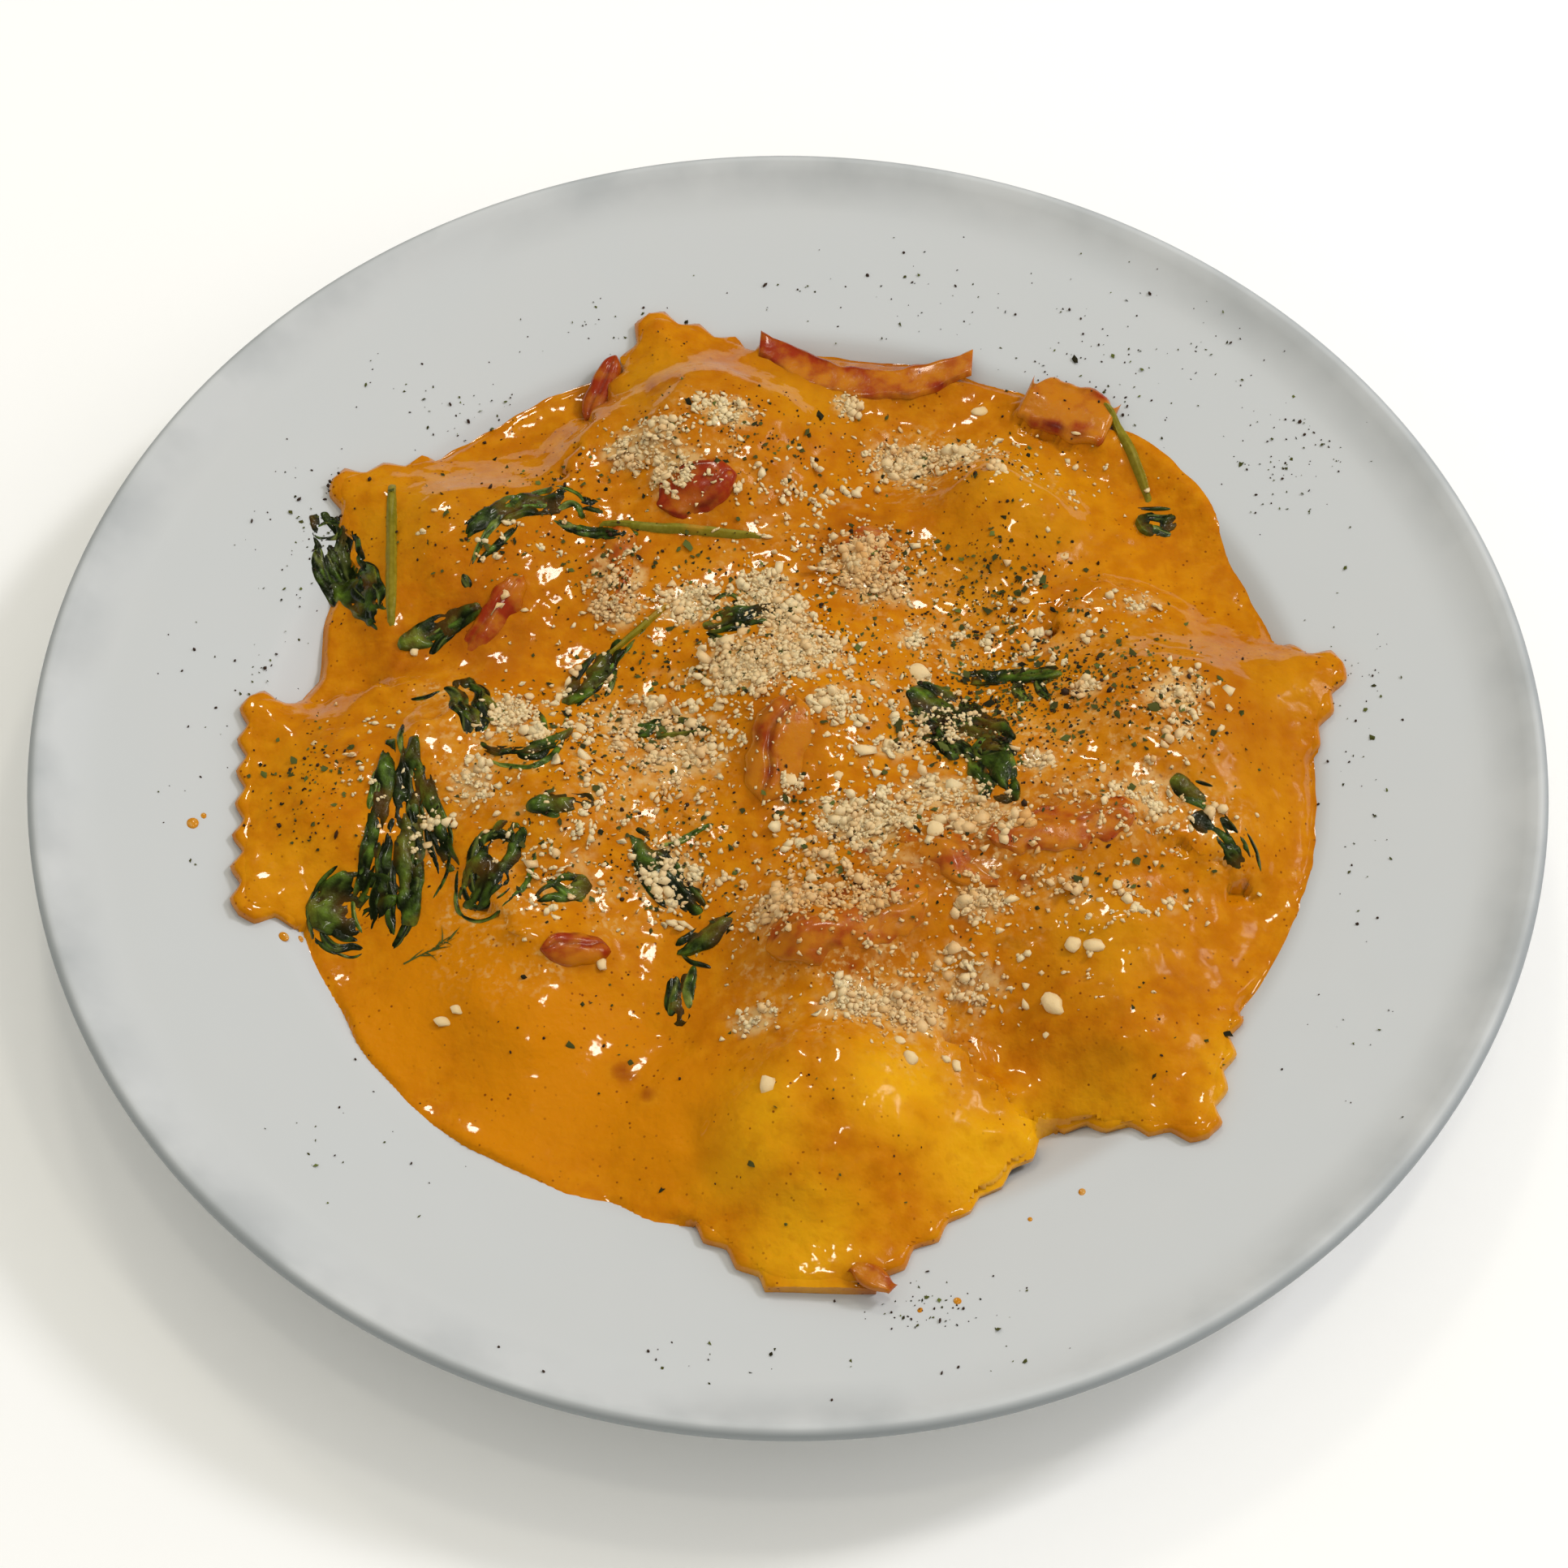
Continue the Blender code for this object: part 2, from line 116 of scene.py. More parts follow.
# Red oil drawn out of the peppers, browned spots, and painted shade in some creases and hollows.
OIL = (
    (74, -56, 7, 0.5), (64, -62, 5, 0.4), (-31, -74, 3.5, 0.9), (-25.5, -79, 2.6, 1.0),
    (-28, 88, 5, 0.8), (-9, 88, 3, 0.5), (58, 40, 6, 0.4), (-79, 22, 6, 0.7),
    (-95, 4, 6, 0.4), (-90, -4, 4, 0.4), (88, -72, 4, 0.2), (14, -96, 5, 0.2),
    (15.5, -28.8, 3.0, 1.0), (20.4, -38.3, 3.2, 1.0), (7.7, -49.3, 3.0, 1.0), (46.1, -35.6, 3.2, 1.0),
    (34.0, -45.6, 2.8, 1.0), (41.3, -23.5, 3.2, 1.0), (2.7, -46.1, 3.6, 0.8), (12.6, -55.6, 2.4, 1.0),
)
# Painted shade: soft spots where the sauce is drawn darker than the rest: x, y, radius, share.
SAUCE_SHADE_SPOTS = (
    (-14, 78, 30, 0.28), (6, 84, 18, 0.28), (-61, 48, 28, 0.30), (84, 10, 24, 0.40),
    (44, 58, 22, 0.26), (61, -52, 22, 0.22), (30, 20, 14, 0.10),
)
# Hollows and creases pressed into the top: x, y, turn, length, width, depth.
CREASES = (
    (5, -84, 82, 24, 6, 0.8), (6, -84, 80, 18, 2, 0.4), (73, -54, 20, 14, 10, 2.0),
    (60, -76, 5, 18, 5, 1.0), (60, 41, 42, 22, 2.2, 2.0), (-42, 38, 85, 30, 3, 1.8),
    (33, -71, -62, 30, 2.4, 1.4), (30, 46, 60, 14, 3, 1.4), (-84, 4, 10, 16, 5, 0.8),
    (-49, -47, 8, 26, 3, -1.2), (-58, -55, 20, 20, 3, -0.8), (24, -78, -20, 12, 6, -1.2),
    (-7, -88, 70, 13, 7, -0.7), (68, -69, 12, 20, 7, -1.2), (50, 62, -20, 26, 14, -1.4),
    (34, -46, -30, 16, 3, 1.0), (14, -54, 35, 18, 1.6, 1.2), (92, -4, 75, 26, 5, -0.8),
)
# Grated cheese: x, y, half width, half depth, crumbs.
CHEESE = (
    (-21, 34, 6, 5, 120), (-6, 36, 5, 7, 150), (-1, 27, 5, 6, 110), (-9, 15, 8, 6, 260),
    (3, 18, 8, 6, 200), (16, 45, 8, 7, 230), (18, 39, 7, 4, 70), (-36, 33, 5, 4, 80),
    (-36, 40, 5, 6, 50), (-24, -6, 12, 9, 150), (-30, 4, 10, 5, 60), (9, 6, 4, 3, 40),
    (0, -13, 2.5, 2.5, 26), (14, -20, 8, 5, 110), (24, 75, 7, 5, 190), (34, 76, 7, 3, 90),
    (-32, 71, 7, 5, 130), (-24, 64, 6, 6, 70), (-14, 79, 6, 4, 70), (11, 88, 2.5, 3, 26),
    (25, 27, 4, 3, 24), (27, 16, 2, 2, 18), (33, 6, 8, 7, 60), (21, -3, 3, 2.5, 28),
    (50, -8, 3, 2.5, 26), (60, 11, 3, 2.5, 24), (78, 8, 6, 6, 70), (72, 36, 5, 3, 26),
    (-57, 5, 3.6, 4.6, 120), (-50, -2, 2, 2, 16), (-63, -13, 4, 5, 40), (-71, -22, 3, 6, 24),
    (-23, -31, 6, 6, 130), (17, -21, 10, 6, 150), (30, -14, 8, 5, 90), (2, -42, 8, 5, 170),
    (15, -41, 6, 4, 110), (38, -41, 5, 3.5, 80), (-6, -65, 4, 3, 30), (14, -63, 7, 4, 80),
    (24, -64, 7, 5, 110), (36, -56, 7, 5, 45), (38, -22, 8, 5, 90), (68, -18, 15, 8, 130),
    (0, 60, 18, 12, 90), (45, 28, 22, 12, 130), (-45, -25, 14, 14, 110), (50, 70, 16, 10, 40),
    (-60, 44, 14, 10, 24), (60, -38, 18, 6, 60), (-84, -10, 12, 16, 30), (20, 4, 16, 12, 110),
    (79, -1, 6, 4, 18), (14, -30, 30, 14, 240), (-16, 8, 24, 18, 160), (30, -54, 24, 9, 80), (-44, 4, 10, 16, 60),
)
# Where the cheese has taken up the red oil: x, y, radius, share.
BROWNED = (
    (8, -42, 15, 0.9), (24, -45, 12, 0.7), (34, -32, 12, 0.7), (52, -25, 15, 0.7), (26, -66, 12, 0.6),
    (-36, 35, 8, 0.5), (-30, 66, 8, 0.3), (68, 0, 14, 0.5), (-26, -6, 12, 0.4), (26, 76, 10, 0.3), (16, 44, 10, 0.8), (-5, 20, 12, 0.3),
)
# Single larger grains: x, y, diameter.
GRAINS = (
    (52, -60, 4.6), (56, -48, 3.4), (60, -48.5, 3.8), (24, -75, 4.2), (22, -71, 2.2),
    (-66, -64, 3.6), (-63.5, -62, 2.4), (-36, -52, 2.6), (-3, -83, 3.6), (40, 89, 3.0),
    (29, -26, 4.4), (30, -23, 3.0), (8, 64, 2.8), (14, 66, 2.2), (66, 38, 3.4),
    (26, 18, 4.0), (20, -2, 3.6), (-49, -1, 3.0), (-42, 1, 2.6), (-77, 23, 2.6),
    (-14, 6, 2.8), (5, -35, 3.6), (2, -40, 3.2), (33, -74, 2.2), (31, -73, 2.6),
    (10, -10, 2.6), (0, -12, 3.0), (60, 74, 2.2), (44, 67, 2.6), (-48, -19, 2.2),
)
# Dried herb flakes and ground pepper: x, y, half width, half depth, flakes.
HERBS = (
    (52, 12, 20, 17, 430), (34, 4, 12, 9, 220), (40, 40, 16, 12, 190), (78, 6, 12, 14, 70),
    (-10, 74, 20, 10, 100), (-6, 24, 20, 16, 150), (-36, 6, 18, 18, 120), (-24, -30, 10, 10, 70),
    (-95, -12, 9, 14, 76), (-60, 50, 16, 12, 50), (-37, 42, 6, 8, 44), (15, 45, 9, 8, 60),
    (5, -20, 18, 10, 60), (60, -30, 22, 10, 46), (-50, -30, 18, 10, 44), (40, 72, 18, 8, 44),
    (-40, -66, 24, 12, 14), (10, -96, 22, 12, 10), (70, -66, 14, 10, 8), (-46, 66, 14, 6, 34),
    (-40, -10, 20, 16, 70), (10, -34, 26, 14, 80), (30, 20, 20, 14, 60), (-20, 44, 18, 10, 50),
)
RIM_HERBS = (
    (66, 98, 26, 20, 80), (104, 74, 12, 14, 44), (-98, 52, 12, 16, 54), (-70, 84, 16, 10, 36),
    (28, -124, 12, 6, 34), (-40, 108, 16, 8, 16), (20, 118, 30, 10, 26), (116, 20, 8, 18, 20),
    (-122, -4, 8, 30, 10), (-78, -88, 16, 12, 12), (0, -136, 50, 6, 16), (108, -62, 14, 20, 8),
    (114, -10, 5, 26, 14), (-109, 18, 6, 8, 10),
)
# Where the shore runs out over the well's wall: x, y, radius, millimetres.
SPILLS = (
    (-95, 22, 16, 4), (-88, 34, 10, 5), (52, -88, 12, -9), (36, -97, 8, -4), (66, -81, 8, -4),
    (-72, -76, 18, 3.0), (-48, -93, 18, 3.0), (-22, -103, 8, 3.0), (80, 72, 18, 6.0),
)
# Where the sauce stands over the pasta and hides it: x, y, radius, share.
FLOODED = ((-42, -74, 24, 1.0), (-64, -54, 18, 1.0), (-76, -66, 14, 1.0), (-22, -86, 16, 0.9), (-54, -90, 14, 1.0))
# Where the cut edge of the pasta stands clear of the sauce: x, y, radius, share.
DRY = (
    (-40, 89, 8, 1.0), (-36, 98, 7, 1.0), (-106, 12, 7, 1.0), (-96, 13, 6, 1.0), (-88, 14, 5, 0.8),
    (-17, -88, 5, 0.8), (-15, -97, 6, 1.0), (54, 31, 4, 0.6), (44, -70, 5, 0.7), (50, -82, 5, 0.9),
)
# Sauce spots on the rim: x, y, diameter.
DRIPS = (
    (-119, -19, 2.6), (-117, -17, 1.2), (-99, -44, 1.8), (-96, -43.4, 1.3), (33, -122, 1.6),
    (26, -124, 1.2), (57, -98, 1.4), (47, -104, 1.0), (-84, -52, 1.0),
)
SPRIG = (-75, -50)


# Each piece of pepper: share of a fold, share of its height that stands in sauce, redness,
# height and width as shares of its solid's.
PEPPER_PIECES = {
    "pepper_01": (0.6, 0.40, 0.85, 1.0, 1.0),
    "pepper_02": (0.0, 0.35, 0.45, 0.62, 1.4),
    "pepper_03": (0.0, 0.45, 0.05, 0.8, 1.15),
    "pepper_04": (0.3, 0.45, 0.9, 0.9, 1.0),
    "pepper_05": (0.3, 0.65, 0.5, 1.0, 1.0),
    "pepper_06": (0.5, 0.45, 0.75, 1.0, 1.0),
    "pepper_07": (0.3, 0.60, 0.5, 1.0, 1.0),
    "pepper_08": (0.8, 0.35, 0.15, 1.0, 1.1),
    "pepper_09": (0.4, 0.70, 0.35, 1.0, 1.0),
    "pepper_10": (0.3, 0.68, 0.35, 1.0, 1.0),
    "pepper_11": (0.3, 0.70, 0.45, 1.0, 1.0),
    "pepper_12": (0.5, 0.55, 0.75, 0.85, 1.0),
    "pepper_13": (0.0, 0.30, 0.3, 0.7, 1.2),
}
# Deep red on the pieces of pepper: x, y, radius, share.
REDDEST = (
    (-6, 103, 5, 1.0), (1, 103, 5, 0.9), (8, 102, 5, 0.9), (14, 100, 4, 0.7), (32, 92, 3, 0.8),
    (50, 82, 2.5, 0.8), (55, 81.5, 2.5, 0.9), (61, 81, 2.5, 0.9), (66, 77.5, 2.5, 1.0), (71, 74, 3, 0.9), (66, 91, 2.5, 0.6), (-21, 60, 5, 0.8),
    (-64, 36, 6, 1.0), (-60, 42, 4, 0.5),
    (-4.4, -4.2, 3, 1.0), (-3.0, -11.0, 2.5, 0.9), (-0.9, -19.1, 3.5, 1.0),
)


# Strands of each leaf, from the middle of its solid: width, paleness, then points x, y.
STRANDS = {
    "spinach_01": (
        (1.6, 0.3, (-8, 9), (-7, 7.5), (-4.5, 7.5), (-2, 8.5), (-2.5, 11), (-5.5, 12), (-7.5, 10)),
        (3.6, 0.1, (-7, 6), (-6, 1.5), (-4, -4), (-1, -7)),
        (4.2, 0.0, (-3, 13), (-1.5, 8), (-1.5, 2.5), (0, -2), (2, -5.5), (5, -9), (6.5, -14), (7.5, -17)),
        (3.2, 0.1, (0, 9.5), (2, 6), (2, 1.5), (4.5, -1), (5, -5), (7.5, -8.5), (8.5, -13)),
        (3.6, 0.2, (-4, 5), (-3.5, 0.5), (-1.5, -3)),
    ),
    "spinach_02": (
        (1.6, 0.1, (-0.5, 8), (-4.5, 6), (-7, 2.5), (-8.5, -2), (-7.5, -6.5), (-4, -9.5), (0.5, -11), (3.5, -9.5)),
        (3.4, 0.0, (-0.5, 6), (-4, 2), (-5, -2.5), (-2.5, -6.5), (1.5, -7.5)),
        (1.5, 0.8, (0.5, 2.5), (0, -1), (2.5, -6)),
        (3.2, 0.0, (-6, -5), (-2, -9), (3, -9)),
    ),
    "spinach_03": (
        (3.0, 0.9, (1, 10.5), (-1, 6.5), (-0.5, 0)),
        (3.0, 0.4, (-0.5, 1), (0, -5), (-1.5, -10), (-2.5, -15)),
        (3.2, 0.0, (4, -0.5), (2.5, -6.5), (2, -12), (1, -17.5), (0, -23)),
    ),
    "spinach_04": (
        (3.6, 0.0, (-2, 18), (-1, 14), (-0.5, 6.5), (1, 0), (1.5, -4.5), (1, -10), (1.5, -14.5), (0.5, -20), (-3, -25)),
        (1.6, 0.2, (-2.5, 24.5), (-2.5, 20), (-1.5, 15)),
        (3.0, 0.1, (-3, -6), (-3, -14), (-2, -21.5)),
    ),
    "spinach_05": (
        (1.2, 0.4, (-4.5, 12), (-2, 6), (1, 0.5), (3, -5), (2.5, -10.5), (1, -15), (-1.5, -19)),
        (1.5, 0.2, (-4.5, 5.5), (-3, -1.5), (-0.5, -8), (0.5, -12.5)),
    ),
    "spinach_06": (
        (1.3, 0.3, (-6.5, 2), (-7.5, -4.5), (-6.5, -9), (-3.5, -11.5), (0, -11.5), (3, -9.5), (7, -5)),
        (1.5, 1.0, (3, -9), (7, -5), (8.5, 0.5), (8.5, 3)),
        (1.2, 0.1, (-5.5, 0), (-5.5, -5), (-3.5, -8.5), (-0.5, -9), (2.5, -7.5), (5, -4)),
        (2.3, 0.0, (3, 8), (4.5, 2), (2, -1), (-1.5, -4.5), (-4.5, -6.5)),
        (3.4, 0.1, (-2, 8), (-4.5, 2.5), (-4, -3), (-3, -6.5)),
        (2.6, 0.0, (-4, 2.5), (-2, 6), (1, 6.5), (3.5, 4)),
    ),
    "spinach_07": (
        (4.2, 0.0, (-6.5, 4.5), (-4, 3), (-2, -1.5), (-1, -6.5), (-1, -10)),
        (4.2, 0.0, (-3, 6), (0.5, 4.5), (2, 0), (2, -5), (1, -9)),
        (1.7, 0.1, (-13, 1.5), (-9.5, 2), (-7, 3.5)),
    ),
    "spinach_08": (
        (1.8, 0.7, (-8, -4), (-3.5, -6.5), (1, -8), (4, -6), (7, -2), (7.5, 3.5)),
        (2.5, 0.1, (-2.5, -2), (0, -4.5), (3.5, -4), (4, 1)),
        (2.0, 0.6, (1.5, 10), (3.5, 6), (4, 1)),
    ),
    "spinach_09": (
        (1.5, 1.0, (12, 13.5), (6.5, 6.5), (4, 3), (1, -2), (-3, -8), (-5.5, -14), (-6.5, -17.5)),
        (3.0, 0.0, (1, 6.5), (-2, 2.5), (-4, -2), (-5.5, -7)),
        (2.8, 0.3, (2.5, 5), (1.5, 0), (-1.5, -5), (-4, -10)),
        (1.7, 0.1, (4.5, 2.5), (3.5, -3), (2, -7.5)),
    ),
    "spinach_10": (
        (2.3, 0.5, (-14, -16.5), (-11.5, -10), (-9, -4.5), (-6, 1.5), (-1.5, 6), (4, 8.5), (9, 6.5), (11, 2.5)),
        (3.0, 0.3, (3, -0.5), (8, -1.5), (12.5, -3), (17.5, -3.5), (21.5, -3)),
        (3.4, 0.8, (-4.5, 3), (-1, 3.5), (2.5, 3.5)),
        (2.4, 0.2, (-12, -12.5), (-8.5, -9.5), (-6, -5.5), (-3, -2.5)),
        (2.2, 0.0, (-14, -15), (-13, -18)),
        (2.4, 0.3, (4, 2), (8, 4), (10, 1)),
    ),
    "spinach_11": (
        (2.6, 0.3, (8, 3.5), (5, 1.5), (1.5, -0.5), (-4, -3)),
        (3.4, 0.0, (4, 0), (1, -2.5), (-2, -5.5)),
    ),
    "spinach_12": (
        (4.2, 0.1, (-11, 1.5), (-7.5, 0.5), (-3.5, -2.5), (0.5, -7.5), (3.5, -11.5)),
        (3.6, 0.2, (-8.5, -3.5), (-4.5, -6), (-0.5, -10.5)),
        (4.0, 0.1, (1, 6.5), (1.5, 2.5), (-0.5, -0.5), (-4.5, -1.5)),
        (3.2, 0.0, (5.5, -6), (8.5, -8.5), (11, -11.5)),
        (2.0, 0.9, (6.5, -3.5), (3.5, -6.5), (2, -10.5)),
        (2.6, 0.2, (-5, 4), (-2, 1), (2, -2), (6, -3)),
    ),
    "spinach_13": (
        (1.4, 0.0, (-14, 2), (-3.5, 1), (5, 0), (8.5, -2)),
        (2.8, 0.2, (1, -0.5), (2, -5.5), (4, -8.5)),
        (2.8, 0.3, (5, -0.5), (6, -5.5), (7, -9)),
    ),
    "spinach_14": (
        (3.2, 0.1, (-3, 5), (-2.5, 0), (-1.5, -5), (-3, -9)),
        (3.0, 0.7, (1, 7), (3, 2), (4, -3)),
        (2.6, 0.0, (-5, 7), (-1, 4), (3, 5)),
    ),
    "spinach_15": (
        (1.4, 0.5, (-9.5, 2.5), (-7.5, 5.5), (-4.5, 7.5), (-1.5, 5), (0, 2.5)),
        (2.3, 0.0, (-3.5, 5.5), (-0.5, 2.5)),
        (2.3, 0.0, (-9, -3), (-6, -5.5), (-3, -8)),
        (1.5, 0.0, (-3, -1), (-2.5, -3.5)),
        (3.6, 0.1, (4.5, -0.5), (8.5, -2.5)),
        (3.0, 0.8, (-8, 1), (-5, 2), (-2, 0)),
    ),
    "spinach_16": (
        (2.1, 0.6, (-7.5, -0.5), (-3, 0), (1, -0.5), (5.5, -2), (9, -2)),
        (2.7, 0.1, (-8, -4), (-4.5, -5), (-1.5, -5.5)),
    ),
    "spinach_17": (
        (1.8, 0.7, (-1.5, 5.5), (3, 7), (7, 9), (10, 10.5)),
        (1.8, 0.1, (-0.5, 4), (1, -2)),
        (2.2, 0.0, (-7, 5), (-4.5, -2.5), (-1, -6), (1, -7.5)),
        (2.4, 0.2, (-4, 4), (-2, 0), (-2, -4)),
    ),
    "spinach_18": (
        (2.2, 0.5, (5.5, 5.5), (2.5, 3), (0.5, 0.5), (-2, -2.5), (-5.5, -3.5)),
        (1.9, 0.0, (-5, -2), (-3, -5), (0, -6), (2, -7)),
    ),
    "spinach_19": (
        (3.6, 0.2, (-1.5, 5), (-2, 1.5), (-2.5, -3.5)),
        (3.4, 0.5, (2, 7), (1.5, 2.5), (1, -2.5)),
    ),
    "spinach_20": (
        (1.4, 0.0, (-4.5, 4), (-0.5, 3.8), (3, 3.5)),
        (2.6, 0.1, (-4, 2), (0, 1.5), (3.5, 1.5)),
        (3.0, 0.6, (-3, -1.5), (0, -2), (3, -2.5)),
    ),
    "spinach_21": (
        (1.5, 0.0, (6, 0.5), (9, -5), (11, -9.5)),
        (0.9, 0.3, (1.5, 1), (3, -2.5), (5.5, -6.5)),
        (3.2, 0.8, (-7, 6.5), (-4, 4.5), (-1, 2.5)),
        (1.3, 0.0, (-3, 8), (0.5, 7.5)),
    ),
    "spinach_22": (
        (1.3, 0.2, (-6, 1), (-2, -0.5), (3, 0.5), (6, -1)),
        (2.2, 0.4, (-4, -2), (0, -2.5)),
    ),
    "spinach_23": (
        (2.8, 0.6, (-4, 2), (0, 0), (4, -2)),
        (1.5, 0.2, (-1, 3), (2.5, 2.5)),
    ),
}


def in_mm(length):
    return length / MM


def length(name, description, millimetres):
    """A size in metres, shown in the scene's units."""
    return FloatProperty(
        name=name,
        description=description,
        default=millimetres * MM,
        min=0.0,
        subtype="DISTANCE",
        unit="LENGTH",
        precision=5,
    )


def linear(hex_text):
    """sRGB hex value as linear red, green, blue and alpha."""
    parts = [int(hex_text[k : k + 2], 16) / 255 for k in (1, 3, 5)]
    return tuple(c / 12.92 if c <= 0.04045 else ((c + 0.055) / 1.055) ** 2.4 for c in parts) + (1.0,)


def colour(name, description, hex_text):
    """A colour, given as an sRGB hex value."""
    return FloatVectorProperty(
        name=name, description=description, default=linear(hex_text), size=4, subtype="COLOR"
    )


class PlateSettings(bpy.types.PropertyGroup):
    floor_radius: length("Floor radius", "Flat middle of the plate", 70.0)
    well_radius: length("Well radius", "Where the wall meets the rim", 108.0)
    lip_start: length("Lip start", "Radius at which the rim turns up", 138.0)
    floor_z: length("Floor height", "Height of the flat middle above the table", 8.0)
    well_edge_z: length("Well edge height", "Height where the wall meets the rim", 22.0)
    lip_rise: length("Lip rise", "Extra height of the lip over the rim's slope", 3.2)
    wall: length("Wall", "Thickness of the body", 5.0)
    foot_radius: length("Foot radius", "Middle of the foot ring", 79.0)
    foot_width: length("Foot width", "Width of the foot ring", 5.0)
    foot_height: length("Foot height", "Depth of the recess inside the foot ring", 3.0)
    rim_slope: FloatProperty(name="Rim slope", description="Rise over run", default=0.13)
    sides: IntProperty(name="Sides", description="Segments round the plate", default=224)
    glaze: colour("Glaze", "White glaze", "#C4C6C6")
    # Grey of the painted shade on the lip and along the plate's edge.
    lip_shade_grey: colour("Lip", "Glaze run thin over the lip", "#8F9496")


class PastaSettings(bpy.types.PropertyGroup):
    tooth: length("Tooth", "Depth of the fluted edge", 1.9)
    teeth: IntProperty(name="Teeth", description="Flutes along a side", default=7)
    steps: IntProperty(name="Steps", description="Mesh steps along a side", default=56)
    edge_round: length("Edge round", "How far in the cut edge is rounded", 0.6)
    wrinkle: length("Wrinkle", "Height of the slow wrinkles", 0.45)
    yolk: colour("Pasta", "Egg pasta under thin sauce", "#E2A40E")


class SauceSettings(bpy.types.PropertyGroup):
    film: length("Film", "Sauce left standing on the pasta", 0.35)
    bead: length("Bead", "Width of the rounded shore", 3.5)
    ripple: length("Ripple", "Height of the fine unevenness", 0.16)
    step: length("Step", "Mesh spacing", 0.8)
    orange: colour("Sauce", "Tomato and cream sauce", "#C37602")
    deep: colour("Deep sauce", "Where the sauce stands deep", "#C07002")
    cream: colour("Cream", "Unmixed cream", "#CE923C")
    # Also the colour of the painted shade in the sauce's creases and darker spots.
    oil: colour("Oil", "Red oil and browned spots", "#964606")


class VegetableSettings(bpy.types.PropertyGroup):
    # The dark leaf colour also stands as painted shade in the folds; the ridge colour is the paler strands' green and
    # also a painted highlight on the ridges.
    leaf_dark_and_fold_shade: colour("Leaf", "Wilted leaf in its folds", "#151D05")
    leaf_pale_and_ridge_highlight: colour("Leaf ridge", "Wilted leaf on its ridges", "#62801E")
    stem: colour("Stem", "Cooked stem", "#86720E")
    red: colour("Pepper skin", "Roasted skin", "#962C08")
    flesh: colour("Pepper flesh", "Soft flesh and oil", "#BE7210")
    char: colour("Char", "Browned edge", "#5A1A06")


class ToppingSettings(bpy.types.PropertyGroup):
    crumb: length("Crumb", "Usual radius of a cheese crumb", 0.40)
    flake: length("Flake", "Usual length of a herb flake", 1.2)
    speck: length("Speck", "Usual size of a pepper speck", 0.45)
    cheese: colour("Cheese", "Grated hard cheese", "#E6D0A2")
    herb: colour("Herb", "Dried parsley", "#4A4A1A")
    speck_colour: colour("Pepper", "Ground black pepper", "#3A220E")


class StageSettings(bpy.types.PropertyGroup):
    distance: length("Camera distance", "From the aim to the camera", 850.0)
    elevation: FloatProperty(
        name="Elevation", description="Camera above the table", default=math.radians(57.666), subtype="ANGLE"
    )
    roll: FloatProperty(
        name="Roll", description="Camera roll", default=math.radians(0.829), subtype="ANGLE"
    )
    focal: FloatProperty(name="Focal length", description="In mm on 36 mm", default=97.61)
    key: FloatProperty(name="Key light", description="Share of the light from the softbox", default=0.38)
    fill: FloatProperty(name="Sky", description="Strength of the even light", default=0.65)
    cloth: colour("Floor", "Pale floor", "#FEFEFD")


GROUPS = {
    "dish_plate": PlateSettings,
    "dish_pasta": PastaSettings,
    "dish_sauce": SauceSettings,
    "dish_vegetables": VegetableSettings,
    "dish_toppings": ToppingSettings,
    "dish_stage": StageSettings,
}


# Relief and grids


def ripple(x, y, size, seed):
    """Smooth random relief between -1 and 1, with bumps about this many millimetres apart."""
    lattice = np.random.default_rng(seed).uniform(-1, 1, (128, 128))
    c, s = math.cos(seed), math.sin(seed)
    column, row = (x * c - y * s) / size + 512, (x * s + y * c) / size + 512
    i, j = np.floor(column).astype(int), np.floor(row).astype(int)
    a, b = column - i, row - j
    a, b = a * a * (3 - 2 * a), b * b * (3 - 2 * b)
    low = lattice[i % 128, j % 128] * (1 - a) + lattice[(i + 1) % 128, j % 128] * a
    high = lattice[i % 128, (j + 1) % 128] * (1 - a) + lattice[(i + 1) % 128, (j + 1) % 128] * a
    return low * (1 - b) + high * b


def smoothstep(low, high, value):
    share = np.clip((value - low) / (high - low), 0, 1)
    return share * share * (3 - 2 * share)


def plate_height(radius):
    """Height of the plate's upper surface at this distance from its middle."""
    p = bpy.context.scene.dish_plate
    floor, well, lip = in_mm(p.floor_radius), in_mm(p.well_radius), in_mm(p.lip_start)
    edge = CAD_BOX[1][0] / MM
    climb = np.clip((radius - floor) / (well - floor), 0, 1)
    rise = in_mm(p.well_edge_z - p.floor_z) * (1 - np.cos(0.5 * math.pi * climb**1.25))
    rim = p.rim_slope * np.clip(radius - well, 0, None)
    turn_up = np.clip((radius - lip) / (edge - 2.5 - lip), 0, 1)
    return in_mm(p.floor_z) + rise + rim + in_mm(p.lip_rise) * turn_up**2


def solid(node):
    """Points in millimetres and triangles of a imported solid."""
    mesh = NODES[node].data
    mesh.calc_loop_triangles()
    points = np.empty(len(mesh.vertices) * 3)
    mesh.vertices.foreach_get("co", points)
    triangles = np.empty(len(mesh.loop_triangles) * 3, int)
    mesh.loop_triangles.foreach_get("vertices", triangles)
    return points.reshape(-1, 3) / MM, triangles.reshape(-1, 3)


